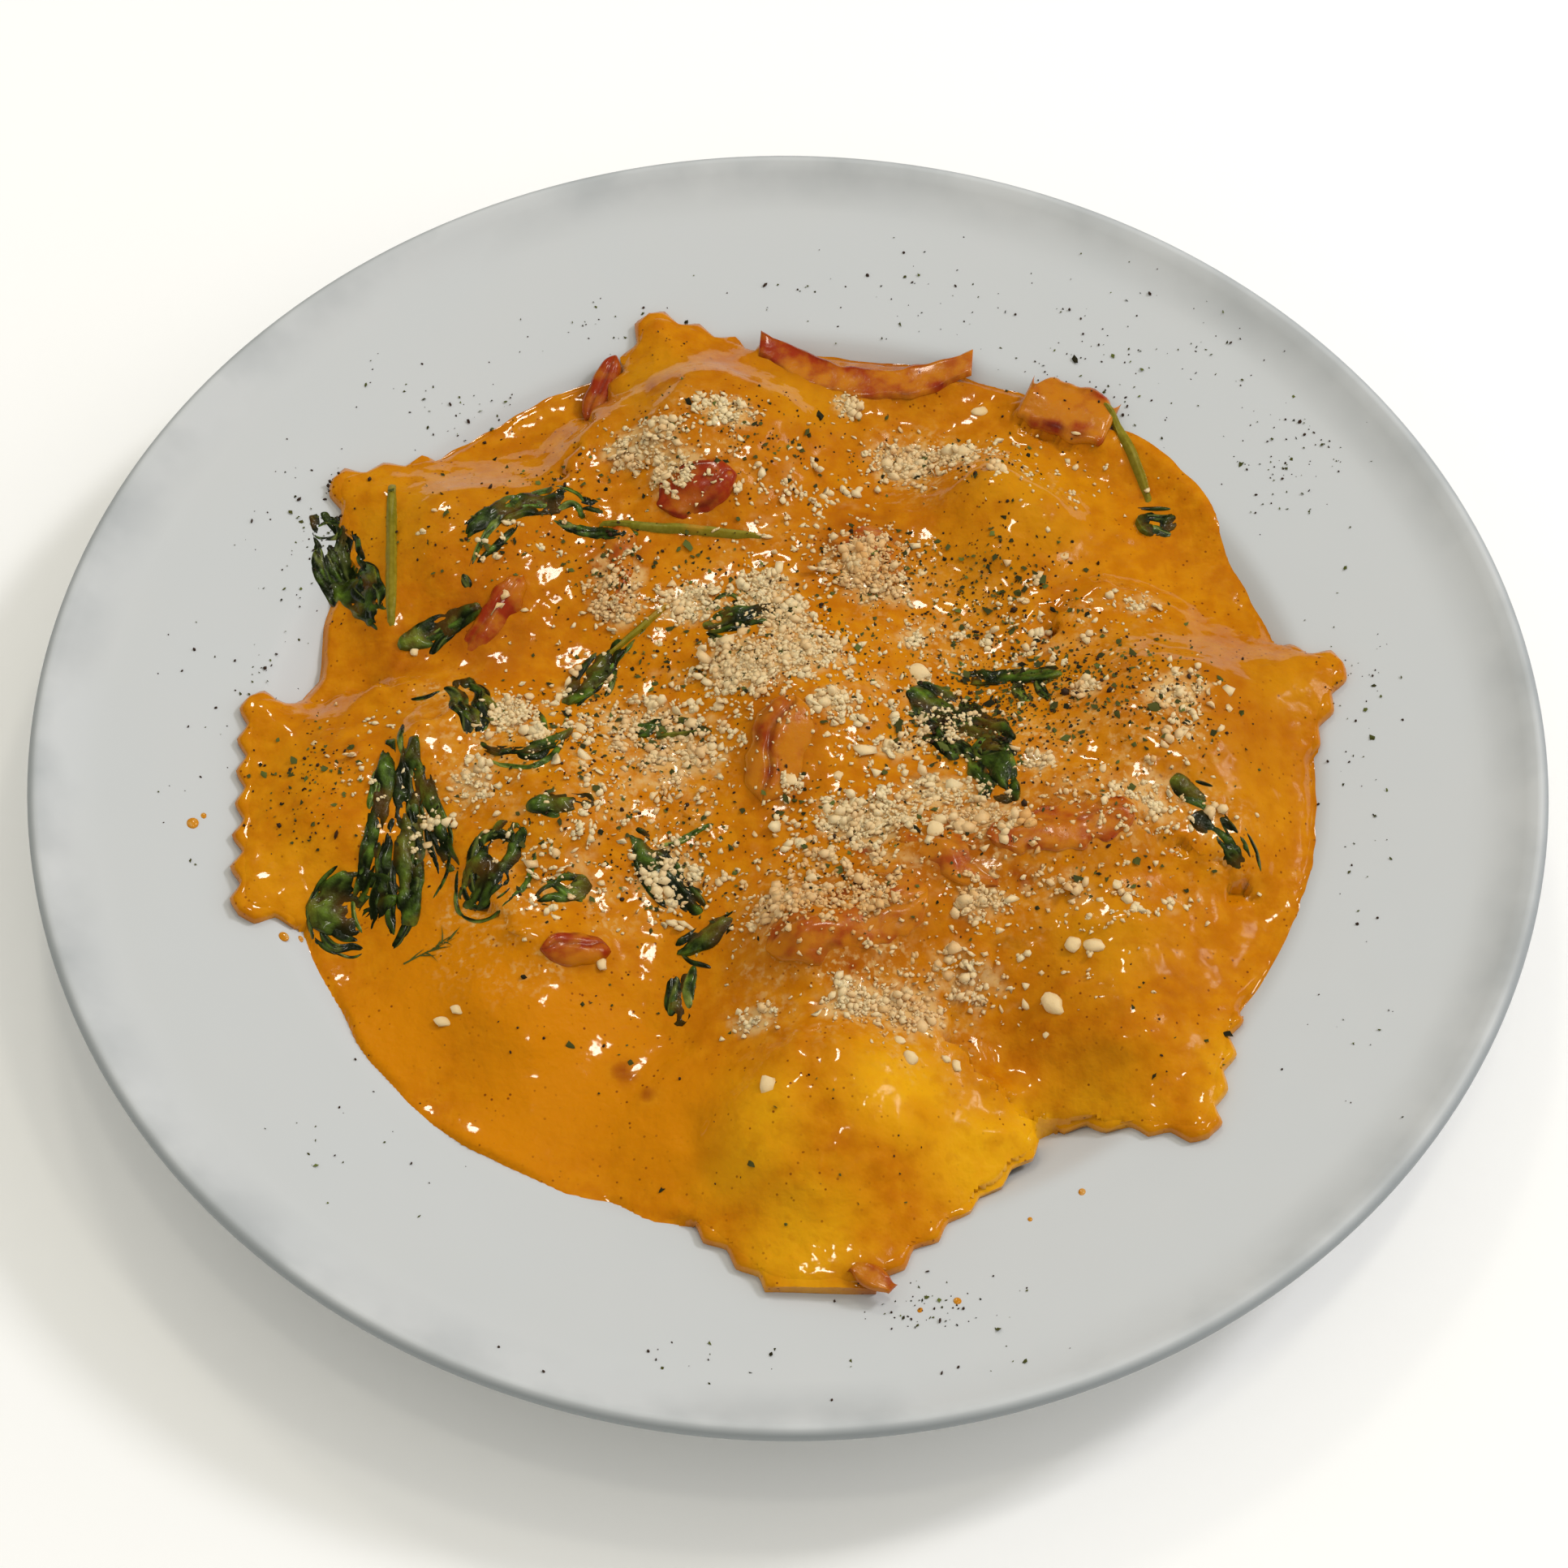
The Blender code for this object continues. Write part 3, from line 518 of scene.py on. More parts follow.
class Grid:
    """A square grid of heights over the plate."""

    REACH = 126.0

    def __init__(self, step):
        self.step = step
        self.axis = np.arange(-self.REACH, self.REACH + step / 2, step)
        self.x, self.y = np.meshgrid(self.axis, self.axis, indexing="ij")
        self.radius = np.hypot(self.x, self.y)

    def draped(self, points, triangles, facing):
        """Heights of the faces that look up (1) or down (-1), and NaN off the solid."""
        found = np.full(self.x.shape, -np.inf)
        for a, b, c in points[triangles]:
            area = (b[0] - a[0]) * (c[1] - a[1]) - (c[0] - a[0]) * (b[1] - a[1])
            if area * facing < 1e-3:
                continue
            low = np.floor((np.min([a, b, c], axis=0) + self.REACH) / self.step).astype(int)
            high = np.ceil((np.max([a, b, c], axis=0) + self.REACH) / self.step).astype(int) + 1
            window = (slice(max(low[0], 0), high[0]), slice(max(low[1], 0), high[1]))
            x, y = self.x[window], self.y[window]
            second = ((x - a[0]) * (c[1] - a[1]) - (c[0] - a[0]) * (y - a[1])) / area
            third = ((b[0] - a[0]) * (y - a[1]) - (x - a[0]) * (b[1] - a[1])) / area
            within = (second > -0.02) & (third > -0.02) & (second + third < 1.02)
            z = facing * (a[2] + second * (b[2] - a[2]) + third * (c[2] - a[2]))
            found[window] = np.maximum(found[window], np.where(within, z, -np.inf))
        return np.where(np.isfinite(found), facing * found, np.nan)

    def blur(self, field, radius):
        """The field averaged over a bell of this radius in millimetres."""
        reach = max(1, int(round(3 * radius / self.step)))
        bell = np.exp(-0.5 * (np.arange(-reach, reach + 1) * self.step / radius) ** 2)
        bell /= bell.sum()
        size = len(self.axis)
        padded = np.pad(field, reach, mode="edge")
        along = sum(w * padded[k : k + size] for k, w in enumerate(bell))
        return sum(w * along[:, k : k + size] for k, w in enumerate(bell))

    def spread(self, field, radius):
        """The field smoothed over its known part and carried a little past it."""
        known = np.isfinite(field)
        weight = self.blur(known.astype(float), radius)
        total = self.blur(np.where(known, field, 0), radius)
        return np.where(weight > 1e-4, total / np.maximum(weight, 1e-4), np.nanmean(field))

    def sample(self, field, x, y):
        """The field between the grid's points."""
        last = len(self.axis) - 1.001
        column = np.clip((x + self.REACH) / self.step, 0, last)
        row = np.clip((y + self.REACH) / self.step, 0, last)
        i, j = column.astype(int), row.astype(int)
        a, b = column - i, row - j
        low = field[i, j] * (1 - a) + field[i + 1, j] * a
        high = field[i, j + 1] * (1 - a) + field[i + 1, j + 1] * a
        return low * (1 - b) + high * b

    def raise_to(self, field, points):
        """Raises the field to points that lie closer together than its own."""
        i, j = np.rint((points[:, :2].T + self.REACH) / self.step).astype(int)
        inside = (i >= 0) & (j >= 0) & (i < len(self.axis)) & (j < len(self.axis))
        np.maximum.at(field, (i[inside], j[inside]), points[inside, 2])


class Serving:
    """Heights of what is on the plate, kept while the pieces are made."""

    def __init__(self):
        self.grid = Grid(in_mm(bpy.context.scene.dish_sauce.step))
        self.plate = plate_height(self.grid.radius)
        self.pasta = np.full(self.grid.x.shape, np.nan)
        self.drowned = np.full(self.grid.x.shape, np.nan)
        self.sauce = None
        self.top = self.plate.copy()

    def height(self, x, y):
        """Height of the uppermost surface."""
        far = np.hypot(x, y) > Grid.REACH - 2
        return np.where(far, plate_height(np.hypot(x, y)), self.grid.sample(self.top, x, y))


SERVING = {}


def serving():
    if "now" not in SERVING:
        SERVING["now"] = Serving()
    return SERVING["now"]


def stroke(x, y, place):
    """Share from 0 to 1 of a soft long spot: x, y, turn, length and width of it."""
    cx, cy, turn, long, wide = place
    c, s = math.cos(math.radians(turn)), math.sin(math.radians(turn))
    along, across = (x - cx) * c + (y - cy) * s, (y - cy) * c - (x - cx) * s
    return np.exp(-((along / (0.5 * long)) ** 4) - (across / (0.5 * wide)) ** 2)


def creased(x, y):
    """How far the top is pressed in or pushed up here."""
    return -sum(depth * stroke(x, y, place) for *place, depth in CREASES)


def spots(x, y, table):
    """Share from 0 to 1 of the nearest soft round spots in a table."""
    found = np.zeros(np.shape(x))
    for cx, cy, radius, share in table:
        here = share * np.exp(-(((x - cx) ** 2 + (y - cy) ** 2) / radius**2) ** 1.5)
        found = np.maximum(found, here)
    return found


def sauce_tint(x, y):
    """Shares of bare pasta, cream, oil with painted shade (below zero where sauce stands deep) and melting cheese."""
    uneven = 0.5 + 0.5 * ripple(x, y, 7.0, 3) + 0.35 * ripple(x, y, 2.6, 4)
    bare = spots(x, y, BARE_PASTA) * np.clip(0.45 + uneven, 0, 1)
    streaks = 0.5 + 0.6 * ripple(x, y, 5.0, 8) + 0.5 * ripple(x, y, 1.8, 9)
    cream = spots(x, y, CREAM) * np.clip(streaks, 0, 1)
    oil = spots(x, y, OIL) * np.clip(0.7 + 0.5 * ripple(x, y, 2.2, 11), 0, 1)
    # Red oil round each piece of pepper, which also paints the shade at the piece's edge.
    for node in PEPPERS:
        low, high = (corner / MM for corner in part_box(node))
        wide, deep = 0.62 * (high.x - low.x), 0.62 * (high.y - low.y)
        apart = ((x - (low.x + high.x) / 2) / wide) ** 2 + ((y - (low.y + high.y) / 2) / deep) ** 2
        oil = np.maximum(oil, 0.75 * np.exp(-(apart**1.5)) * np.clip(0.3 + uneven, 0, 1))
    # Painted shade: the shaded spots darken the sauce towards the oil colour.
    oil = np.maximum(oil, spots(x, y, SAUCE_SHADE_SPOTS))
    oil = oil - (1 - oil) * spots(x, y, FLOODED)
    bed = np.zeros(np.shape(x))
    for cx, cy, wide, deep, count in CHEESE:
        apart = ((x - cx) / (1.10 * wide)) ** 2 + ((y - cy) / (1.10 * deep)) ** 2
        share = min(1.0, 0.42 * count / (wide * deep))
        bed = np.maximum(bed, share * np.exp(-(apart**1.5)))
    bed = smoothstep(0.25, 0.75, bed + 0.30 * ripple(x, y, 1.9, 12) + 0.20 * ripple(x, y, 4.0, 13)) * (bed > 0.1)
    return np.stack([bare, cream, oil, bed], axis=-1)


# Meshes


def mesh_piece(name, points, faces, finish, tint=None, replaces=(), sharp=65.0):
    """A mesh from points in millimetres and faces of one size, riding on the plate.

    Edges that turn more than this many degrees stay sharp.
    """
    points, faces = np.asarray(points, float).reshape(-1, 3), np.asarray(faces, int)
    mesh = bpy.data.meshes.new(name)
    mesh.vertices.add(len(points))
    mesh.vertices.foreach_set("co", (points * MM).ravel())
    mesh.loops.add(faces.size)
    mesh.loops.foreach_set("vertex_index", faces.ravel())
    mesh.polygons.add(len(faces))
    mesh.polygons.foreach_set("loop_start", np.arange(0, faces.size, faces.shape[1]))
    mesh.update(calc_edges=True)
    mesh.validate()
    if tint is not None:
        tint = np.asarray(tint).reshape(len(points), -1)
        shade = np.zeros((len(points), 4))
        shade[:, : tint.shape[1]] = tint
        layer = mesh.color_attributes.new(name="tint", type="FLOAT_COLOR", domain="POINT")
        layer.data.foreach_set("color", shade.ravel())
    mesh.materials.append(finish)
    mesh.shade_smooth()
    mesh.set_sharp_from_angle(angle=math.radians(sharp))
    piece = bpy.data.objects.new(name, mesh)
    bpy.context.scene.collection.objects.link(piece)
    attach(piece, "root")
    if replaces:
        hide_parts(*replaces)
    return piece


def shell(x, y, top, bottom):
    """Points and four-sided faces of the closed body between two heights over one net."""
    count = x.size
    index = np.arange(count).reshape(x.shape)
    upper = np.stack([index[:-1, :-1], index[1:, :-1], index[1:, 1:], index[:-1, 1:]], -1).reshape(-1, 4)
    ring = np.concatenate([index[:, 0], index[-1, 1:], index[-2::-1, -1], index[0, -2:0:-1]])
    following = np.roll(ring, -1)
    sides = np.stack([ring, ring + count, following + count, following], -1)
    points = np.concatenate([np.stack([x, y, z], -1).reshape(-1, 3) for z in (top, bottom)])
    return points, np.concatenate([upper, upper[:, ::-1] + count, sides])


def turned(profile, sides):
    """Points and faces of a profile of (radius, height) turned about Z, starting on the axis."""
    profile = np.array(profile)
    angles = 2 * math.pi * np.arange(sides) / sides
    rings = profile[:, 0][:, None, None] * np.stack([np.cos(angles), np.sin(angles)], -1)
    heights = np.broadcast_to(profile[:, 1][:, None, None], rings.shape[:2] + (1,))
    points = np.concatenate([rings, heights], -1).reshape(-1, 3)
    index = np.arange(len(points)).reshape(len(profile), sides)
    after = np.roll(index, -1, axis=1)
    faces = np.stack([index[:-1], index[1:], after[1:], after[:-1]], -1).reshape(-1, 4)
    return points, faces


def ball(subdivisions):
    """Points and triangles of a round ball of radius 1."""
    shape = bmesh.new()
    bmesh.ops.create_icosphere(shape, subdivisions=subdivisions, radius=1.0)
    points = np.array([v.co for v in shape.verts])
    faces = np.array([[v.index for v in f.verts] for f in shape.faces])
    shape.free()
    return points, faces


def random_turns(rng, count, tilt):
    """Rotations by any angle about Z after a lean of up to about tilt radians."""
    yaw, lean = rng.uniform(0, 2 * math.pi, count), rng.normal(0, tilt, count)
    heading = rng.uniform(0, 2 * math.pi, count)
    turns = []
    for a, b, c in zip(yaw, lean, heading):
        axis = Vector((math.cos(c), math.sin(c), 0))
        turns.append(np.array(Matrix.Rotation(b, 3, axis) @ Matrix.Rotation(a, 3, "Z")))
    return np.array(turns)


def strewn(shapes, places, sizes, turns, rng):
    """Copies of the shapes joined into one mesh, and the number of the copy for each point."""
    points, faces, owner, offset = [], [], [], 0
    kinds = rng.integers(0, len(shapes), len(places))
    for kind, (shape, triangles) in enumerate(shapes):
        chosen = np.flatnonzero(kinds == kind)
        scaled = shape[None] * sizes[chosen][:, None]
        moved = np.einsum("nij,nkj->nki", turns[chosen], scaled) + places[chosen][:, None]
        starts = offset + len(shape) * np.arange(len(chosen))
        points.append(moved.reshape(-1, 3))
        faces.append((triangles[None] + starts[:, None, None]).reshape(-1, 3))
        owner.append(np.repeat(chosen, len(shape)))
        offset += len(shape) * len(chosen)
    return np.concatenate(points), np.concatenate(faces), np.concatenate(owner)


def clusters(table, rng):
    """Random places thrown round each entry of a table: x, y, half width, half depth, count."""
    found = []
    for x, y, wide, deep, count in table:
        throw = rng.normal(0, 0.62, (count, 2)).clip(-1.5, 1.5)
        found.append(throw * (wide, deep) + (x, y))
    return np.concatenate(found)


# Materials


def node(tree, kind, inputs=None, **settings):
    """Adds a shader node, sets it, and fills or links its inputs."""
    made = tree.nodes.new(kind)
    for setting, value in settings.items():
        setattr(made, setting, value)
    for socket, value in (inputs or {}).items():
        if isinstance(value, bpy.types.NodeSocket):
            tree.links.new(value, made.inputs[socket])
        else:
            made.inputs[socket].default_value = value
    return made


def new_material(name):
    """An empty principled material: its tree, its shader and its object coordinates."""
    made = bpy.data.materials.new(name)
    made.use_nodes = True
    tree = made.node_tree
    place = node(tree, "ShaderNodeTexCoord").outputs["Object"]
    return made, tree, tree.nodes["Principled BSDF"], place


def grain(tree, place, millimetres, detail=3.0):
    """Factor of a noise whose lumps are about this many millimetres across."""
    made = node(
        tree,
        "ShaderNodeTexNoise",
        {"Vector": place, "Scale": 1 / (millimetres * MM), "Detail": detail},
    )
    return made.outputs["Factor" if "Factor" in made.outputs else "Fac"]


def remap(tree, value, low, high, to_low=0.0, to_high=1.0):
    inputs = {"Value": value, "From Min": low, "From Max": high, "To Min": to_low, "To Max": to_high}
    return node(tree, "ShaderNodeMapRange", inputs).outputs["Result"]


def blend(tree, share, first, second):
    """Mix of two colours, each a socket or linear values."""
    made = node(tree, "ShaderNodeMix", {0: share, 6: first, 7: second}, data_type="RGBA")
    return made.outputs[2]


def times(tree, a, b):
    return node(tree, "ShaderNodeMath", {0: a, 1: b}, operation="MULTIPLY").outputs[0]


def tint_parts(tree):
    """The three shares kept in a mesh's tint."""
    layer = node(tree, "ShaderNodeAttribute", attribute_name="tint").outputs["Color"]
    return node(tree, "ShaderNodeSeparateColor", {"Color": layer}).outputs


def relief(tree, height, millimetres, strength=1.0, under=None):
    """Normal of a fine relief this many millimetres deep."""
    inputs = {"Height": height, "Distance": millimetres * MM, "Strength": strength}
    if under:
        inputs["Normal"] = under
    return node(tree, "ShaderNodeBump", inputs).outputs["Normal"]


def glazed_porcelain():
    """Porcelain dipped in satin glaze and fired: a hard, dull shine, with painted shade greying its lip and a dark
    painted line of shade along its edge.
    """
    settings = bpy.context.scene.dish_plate
    made, tree, shader, place = new_material("glazed porcelain")
    parts = node(tree, "ShaderNodeSeparateXYZ", {"Vector": place}).outputs
    flat = node(tree, "ShaderNodeCombineXYZ", {"X": parts["X"], "Y": parts["Y"]}).outputs[0]
    radius = node(tree, "ShaderNodeVectorMath", {0: flat}, operation="LENGTH").outputs["Value"]
    edge = CAD_BOX[1][0]
    # Painted shade: the lip grey darkens the outermost 1.6 mm of the edge to a line, and greys a mottled band that
    # grows over the last 13 mm.
    edge_line_shade = remap(tree, radius, edge - 1.6 * MM, edge - 0.3 * MM)
    rubbed = remap(tree, radius, edge - 13.0 * MM, edge - 1.0 * MM, 0.0, 1.0)
    rubbed = times(tree, rubbed, remap(tree, grain(tree, place, 30.0, 4.0), 0.42, 0.66, 0.0, 0.55))
    cloudy = remap(tree, grain(tree, place, 26.0, 2.0), 0.3, 0.7, 0.0, 0.16)
    base = blend(tree, cloudy, settings.glaze, linear("#BFC5C8"))
    base = blend(tree, rubbed, base, settings.lip_shade_grey)
    tree.links.new(blend(tree, edge_line_shade, base, settings.lip_shade_grey), shader.inputs["Base Color"])
    tree.links.new(remap(tree, grain(tree, place, 9.0), 0.3, 0.7, 0.40, 0.50), shader.inputs["Roughness"])
    tree.links.new(relief(tree, grain(tree, place, 14.0, 1.0), 0.08), shader.inputs["Normal"])
    shader.inputs["IOR"].default_value = 1.5
    shader.inputs["Specular IOR Level"].default_value = 0.25
    return made


def wet_sauce(name, shine):
    """Cream sauce simmered with tomato, poured over pasta: opaque, soft inside, wet on top."""
    settings = bpy.context.scene.dish_sauce
    made, tree, shader, place = new_material(name)
    bare, cream, oil = (tint_parts(tree)[k] for k in range(3))
    bed = node(tree, "ShaderNodeAttribute", attribute_name="tint").outputs["Alpha"]
    slow, middling, fine = grain(tree, place, 11.0, 2.0), grain(tree, place, 3.6, 3.0), grain(tree, place, 1.2, 3.0)
    base = blend(tree, remap(tree, slow, 0.35, 0.65), settings.deep, settings.orange)
    base = blend(tree, bare, base, bpy.context.scene.dish_pasta.yolk)
    base = blend(tree, remap(tree, middling, 0.46, 0.64, 0.0, 0.4), base, linear("#D8900C"))
    base = blend(tree, remap(tree, middling, 0.46, 0.34, 0.0, 0.22), base, linear("#AC5A02"))
    base = blend(tree, times(tree, cream, remap(tree, middling, 0.4, 0.6, 0.1, 0.7)), base, settings.cream)
    base = blend(tree, remap(tree, oil, 0.0, -1.0), base, linear("#CE7E02"))
    # Red oil and browned spots, with painted shade in creases, at the peppers' edges and in the shaded spots.
    base = blend(tree, remap(tree, oil, 0.0, 1.0), base, settings.oil)
    base = blend(tree, remap(tree, oil, 0.72, 1.0, 0.0, 0.8), base, linear("#8E2E0E"))
    # Paprika and browned milk as dots 0.3 to 0.6 mm across.
    dots = node(tree, "ShaderNodeTexVoronoi", {"Vector": place, "Scale": 1 / (1.9 * MM)}).outputs["Distance"]
    here = times(tree, remap(tree, dots, 0.10, 0.17, 1.0, 0.0), remap(tree, slow, 0.42, 0.60, 0.1, 0.85))
    base = blend(tree, here, base, linear("#6E2C05"))
    # Cheese melted into the sauce, as pale ragged grains.
    curd = times(tree, remap(tree, cream, 0.05, 0.6, 0.0, 0.7), remap(tree, grain(tree, place, 1.3, 3.0), 0.50, 0.66))
    base = blend(tree, curd, base, linear("#D6B070"))
    base = blend(tree, times(tree, bed, remap(tree, fine, 0.36, 0.50, 0.3, 1.0)), base, linear("#D4A868"))
    tree.links.new(base, shader.inputs["Base Color"])
    tree.links.new(remap(tree, fine, 0.3, 0.7, shine, shine + 0.2), shader.inputs["Roughness"])
    waves = relief(tree, grain(tree, place, 2.6, 2.0), 0.45, 0.7)
    wavelets = relief(tree, grain(tree, place, 1.0, 2.0), 0.16, 0.7, waves)
    tree.links.new(wavelets, shader.inputs["Normal"])
    tree.links.new(relief(tree, grain(tree, place, 2.2, 1.0), 0.10, 0.8), shader.inputs["Coat Normal"])
    shader.inputs["Subsurface Weight"].default_value = 0.08
    shader.inputs["Subsurface Radius"].default_value = (1.0, 0.42, 0.05)
    shader.inputs["Subsurface Scale"].default_value = 1.2 * MM
    shader.inputs["IOR"].default_value = 1.34
    shader.inputs["Specular IOR Level"].default_value = 0.08
    shader.inputs["Coat Weight"].default_value = 1.0
    shader.inputs["Coat Roughness"].default_value = 0.07
    return made


def roasted_pepper():
    """Red pepper roasted in oil and peeled in strips: waxy flesh, dark blistered edges, oily."""
    settings = bpy.context.scene.dish_vegetables
    made, tree, shader, place = new_material("roasted pepper")
    red, dark, wet = (tint_parts(tree)[k] for k in range(3))
    mottle = remap(tree, grain(tree, place, 3.2, 4.0), 0.35, 0.65, -0.40, 0.30)
    share = node(tree, "ShaderNodeMath", {0: red, 1: mottle}, operation="ADD", use_clamp=True).outputs[0]
    base = blend(tree, share, settings.flesh, settings.red)
    base = blend(tree, dark, base, settings.char)
    base = blend(tree, wet, base, bpy.context.scene.dish_sauce.orange)
    tree.links.new(base, shader.inputs["Base Color"])
    tree.links.new(relief(tree, grain(tree, place, 1.4, 3.0), 0.22, 0.6), shader.inputs["Normal"])
    shader.inputs["Roughness"].default_value = 0.26
    shader.inputs["Specular IOR Level"].default_value = 0.3
    shader.inputs["Subsurface Weight"].default_value = 0.10
    shader.inputs["Subsurface Radius"].default_value = (1.0, 0.25, 0.05)
    shader.inputs["Subsurface Scale"].default_value = 1.2 * MM
    shader.inputs["Coat Weight"].default_value = 0.5
    shader.inputs["Coat Roughness"].default_value = 0.08
    return made


def wilted_leaf():
    """Spinach wilted in the pan: thin, wet, crumpled leaf, nearly black, with painted shade in its folds and a painted
    highlight on its ridges.
    """
    settings = bpy.context.scene.dish_vegetables
    made, tree, shader, place = new_material("wilted spinach")
    ridge, rib, wet = (tint_parts(tree)[k] for k in range(3))
    blotch = grain(tree, place, 2.2, 4.0)
    # The strands' own paleness and a painted highlight on the ridges lighten the leaf; the dark left in the folds is
    # painted shade.
    share = times(tree, ridge, remap(tree, blotch, 0.32, 0.62, 0.25, 1.0))
    base = blend(tree, share, settings.leaf_dark_and_fold_shade, settings.leaf_pale_and_ridge_highlight)
    base = blend(tree, times(tree, rib, remap(tree, blotch, 0.3, 0.6, 0.4, 1.0)), base, linear("#8C9640"))
    base = blend(tree, wet, base, bpy.context.scene.dish_sauce.orange)
    tree.links.new(base, shader.inputs["Base Color"])
    tree.links.new(relief(tree, grain(tree, place, 0.8, 3.0), 0.30, 0.9), shader.inputs["Normal"])
    shader.inputs["Roughness"].default_value = 0.32
    shader.inputs["Specular IOR Level"].default_value = 0.3
    shader.inputs["Coat Weight"].default_value = 0.5
    shader.inputs["Coat Roughness"].default_value = 0.12
    return made


def cooked_stem():
    """Leaf stalk boiled soft: olive green, ribbed along its length, wet."""
    settings = bpy.context.scene.dish_vegetables
    made, tree, shader, place = new_material("cooked stem")
    pale, _, wet = (tint_parts(tree)[k] for k in range(3))
    base = blend(tree, pale, linear("#6A660C"), settings.stem)
    base = blend(tree, wet, base, bpy.context.scene.dish_sauce.orange)
    base = blend(tree, remap(tree, grain(tree, place, 1.2), 0.35, 0.65, 0.0, 0.3), base, linear("#A59A34"))
    tree.links.new(base, shader.inputs["Base Color"])
    tree.links.new(relief(tree, grain(tree, place, 0.7), 0.12, 0.6), shader.inputs["Normal"])
    shader.inputs["Roughness"].default_value = 0.3
    shader.inputs["Specular IOR Level"].default_value = 0.25
    return made


def grated_cheese():
    """Hard cheese grated fine: crumbly, pale, a little clear at its edges, stained from below."""
    settings = bpy.context.scene.dish_toppings
    made, tree, shader, place = new_material("grated hard cheese")
    stain, warm, _ = (tint_parts(tree)[k] for k in range(3))
    base = blend(tree, warm, settings.cheese, linear("#D8A462"))
    base = blend(tree, stain, base, linear("#D09A3C"))
    tree.links.new(base, shader.inputs["Base Color"])
    tree.links.new(relief(tree, grain(tree, place, 0.35, 2.0), 0.08, 0.7), shader.inputs["Normal"])
    shader.inputs["Roughness"].default_value = 0.42
    shader.inputs["Specular IOR Level"].default_value = 0.2
    shader.inputs["Subsurface Weight"].default_value = 0.3
    shader.inputs["Subsurface Radius"].default_value = (1.0, 0.9, 0.7)
    shader.inputs["Subsurface Scale"].default_value = 0.4 * MM
    return made


def dried_herb():
    """Parsley dried and rubbed: matt, curled, grey green, some flakes paler and some darker."""
    settings = bpy.context.scene.dish_toppings
    made, tree, shader, _ = new_material("dried parsley")
    pale, dark, _ = (tint_parts(tree)[k] for k in range(3))
    base = blend(tree, pale, settings.herb, linear("#66702E"))
    base = blend(tree, dark, base, linear("#221E0C"))
    tree.links.new(base, shader.inputs["Base Color"])
    shader.inputs["Roughness"].default_value = 0.75
    shader.inputs["Specular IOR Level"].default_value = 0.2
    return made


def cracked_pepper():
    """Black pepper ground coarse: matt, nearly black."""
    made, _, shader, _ = new_material("ground pepper")
    shader.inputs["Base Color"].default_value = bpy.context.scene.dish_toppings.speck_colour
    shader.inputs["Roughness"].default_value = 0.55
    return made


def painted_board():
    """Board painted in matt white: the pale floor."""
    made, tree, shader, place = new_material("matt white board")
    shade = remap(tree, grain(tree, place, 180.0, 1.0), 0.3, 0.7, 0.0, 0.3)
    floor = bpy.context.scene.dish_stage.cloth
    tree.links.new(blend(tree, shade, floor, linear("#FAF9F7")), shader.inputs["Base Color"])
    shader.inputs["Roughness"].default_value = 0.7
    return made


# Pieces


def plate_profile():
    """Section of the plate as (radius, height), from the middle of its top round to its base."""
    p = bpy.context.scene.dish_plate
    edge, wall = CAD_BOX[1][0] / MM, in_mm(p.wall)
    floor, well, lip = in_mm(p.floor_radius), in_mm(p.well_radius), in_mm(p.lip_start)
    radii = np.concatenate([[0, 40], np.linspace(floor - 6, well + 5, 34), np.linspace(well + 9, edge - 2.5, 16)])
    soft = np.array([np.mean(plate_height(r + np.linspace(-1.6, 1.6, 9))) for r in radii])
    top = list(zip(radii, np.where(radii > edge - 6, plate_height(radii), soft)))
    crest, low = float(plate_height(edge)), float(plate_height(edge)) - 4.2
    turn = np.radians(np.linspace(80, -70, 12))
    middle = (crest + low) / 2 - 0.1
    nose = [(edge - 2.1 + 2.1 * math.cos(a), middle + 2.0 * math.sin(a)) for a in turn]
    under = [(r, float(plate_height(r)) - wall) for r in np.linspace(lip, 97, 14)]
    outer = in_mm(p.foot_radius + p.foot_width / 2)
    inner = in_mm(p.foot_radius - p.foot_width / 2)
    height = in_mm(p.foot_height)
    foot = [(outer + 1.4, height + 1.0), (outer + 0.5, height - 1.0), (outer, 0.4), (outer - 0.5, 0)]
    foot += [(inner + 0.5, 0), (inner, 0.4), (inner - 0.8, height - 0.5), (inner - 2, height)]
    return top + nose + under + foot + [(0, height)]


def square_round(points):
    """Middle, turn in degrees, and lowest and highest corners in the turned axes, of the smallest rectangle round some
    points.
    """
    best = None
    for degrees in np.arange(0, 90, 0.25):
        c, s = math.cos(math.radians(degrees)), math.sin(math.radians(degrees))
        own = points[:, :2] @ np.array([(c, -s), (s, c)])
        low, high = own.min(axis=0), own.max(axis=0)
        size = np.prod(high - low)
        if best is None or size < best[0]:
            best = (size, degrees, low, high)
    _, degrees, low, high = best
    c, s = math.cos(math.radians(degrees)), math.sin(math.radians(degrees))
    middle = (low + high) / 2 @ np.array([(c, s), (-s, c)])
    return middle, degrees, low, high


def flutes(share):
    """Rounded zigzag from -1 to 1 along a cut edge, with its tips half a flute from the corners."""
    teeth = bpy.context.scene.dish_pasta.teeth
    return np.arcsin(-0.97 * np.cos(math.pi * teeth * (share + 1))) / 1.33


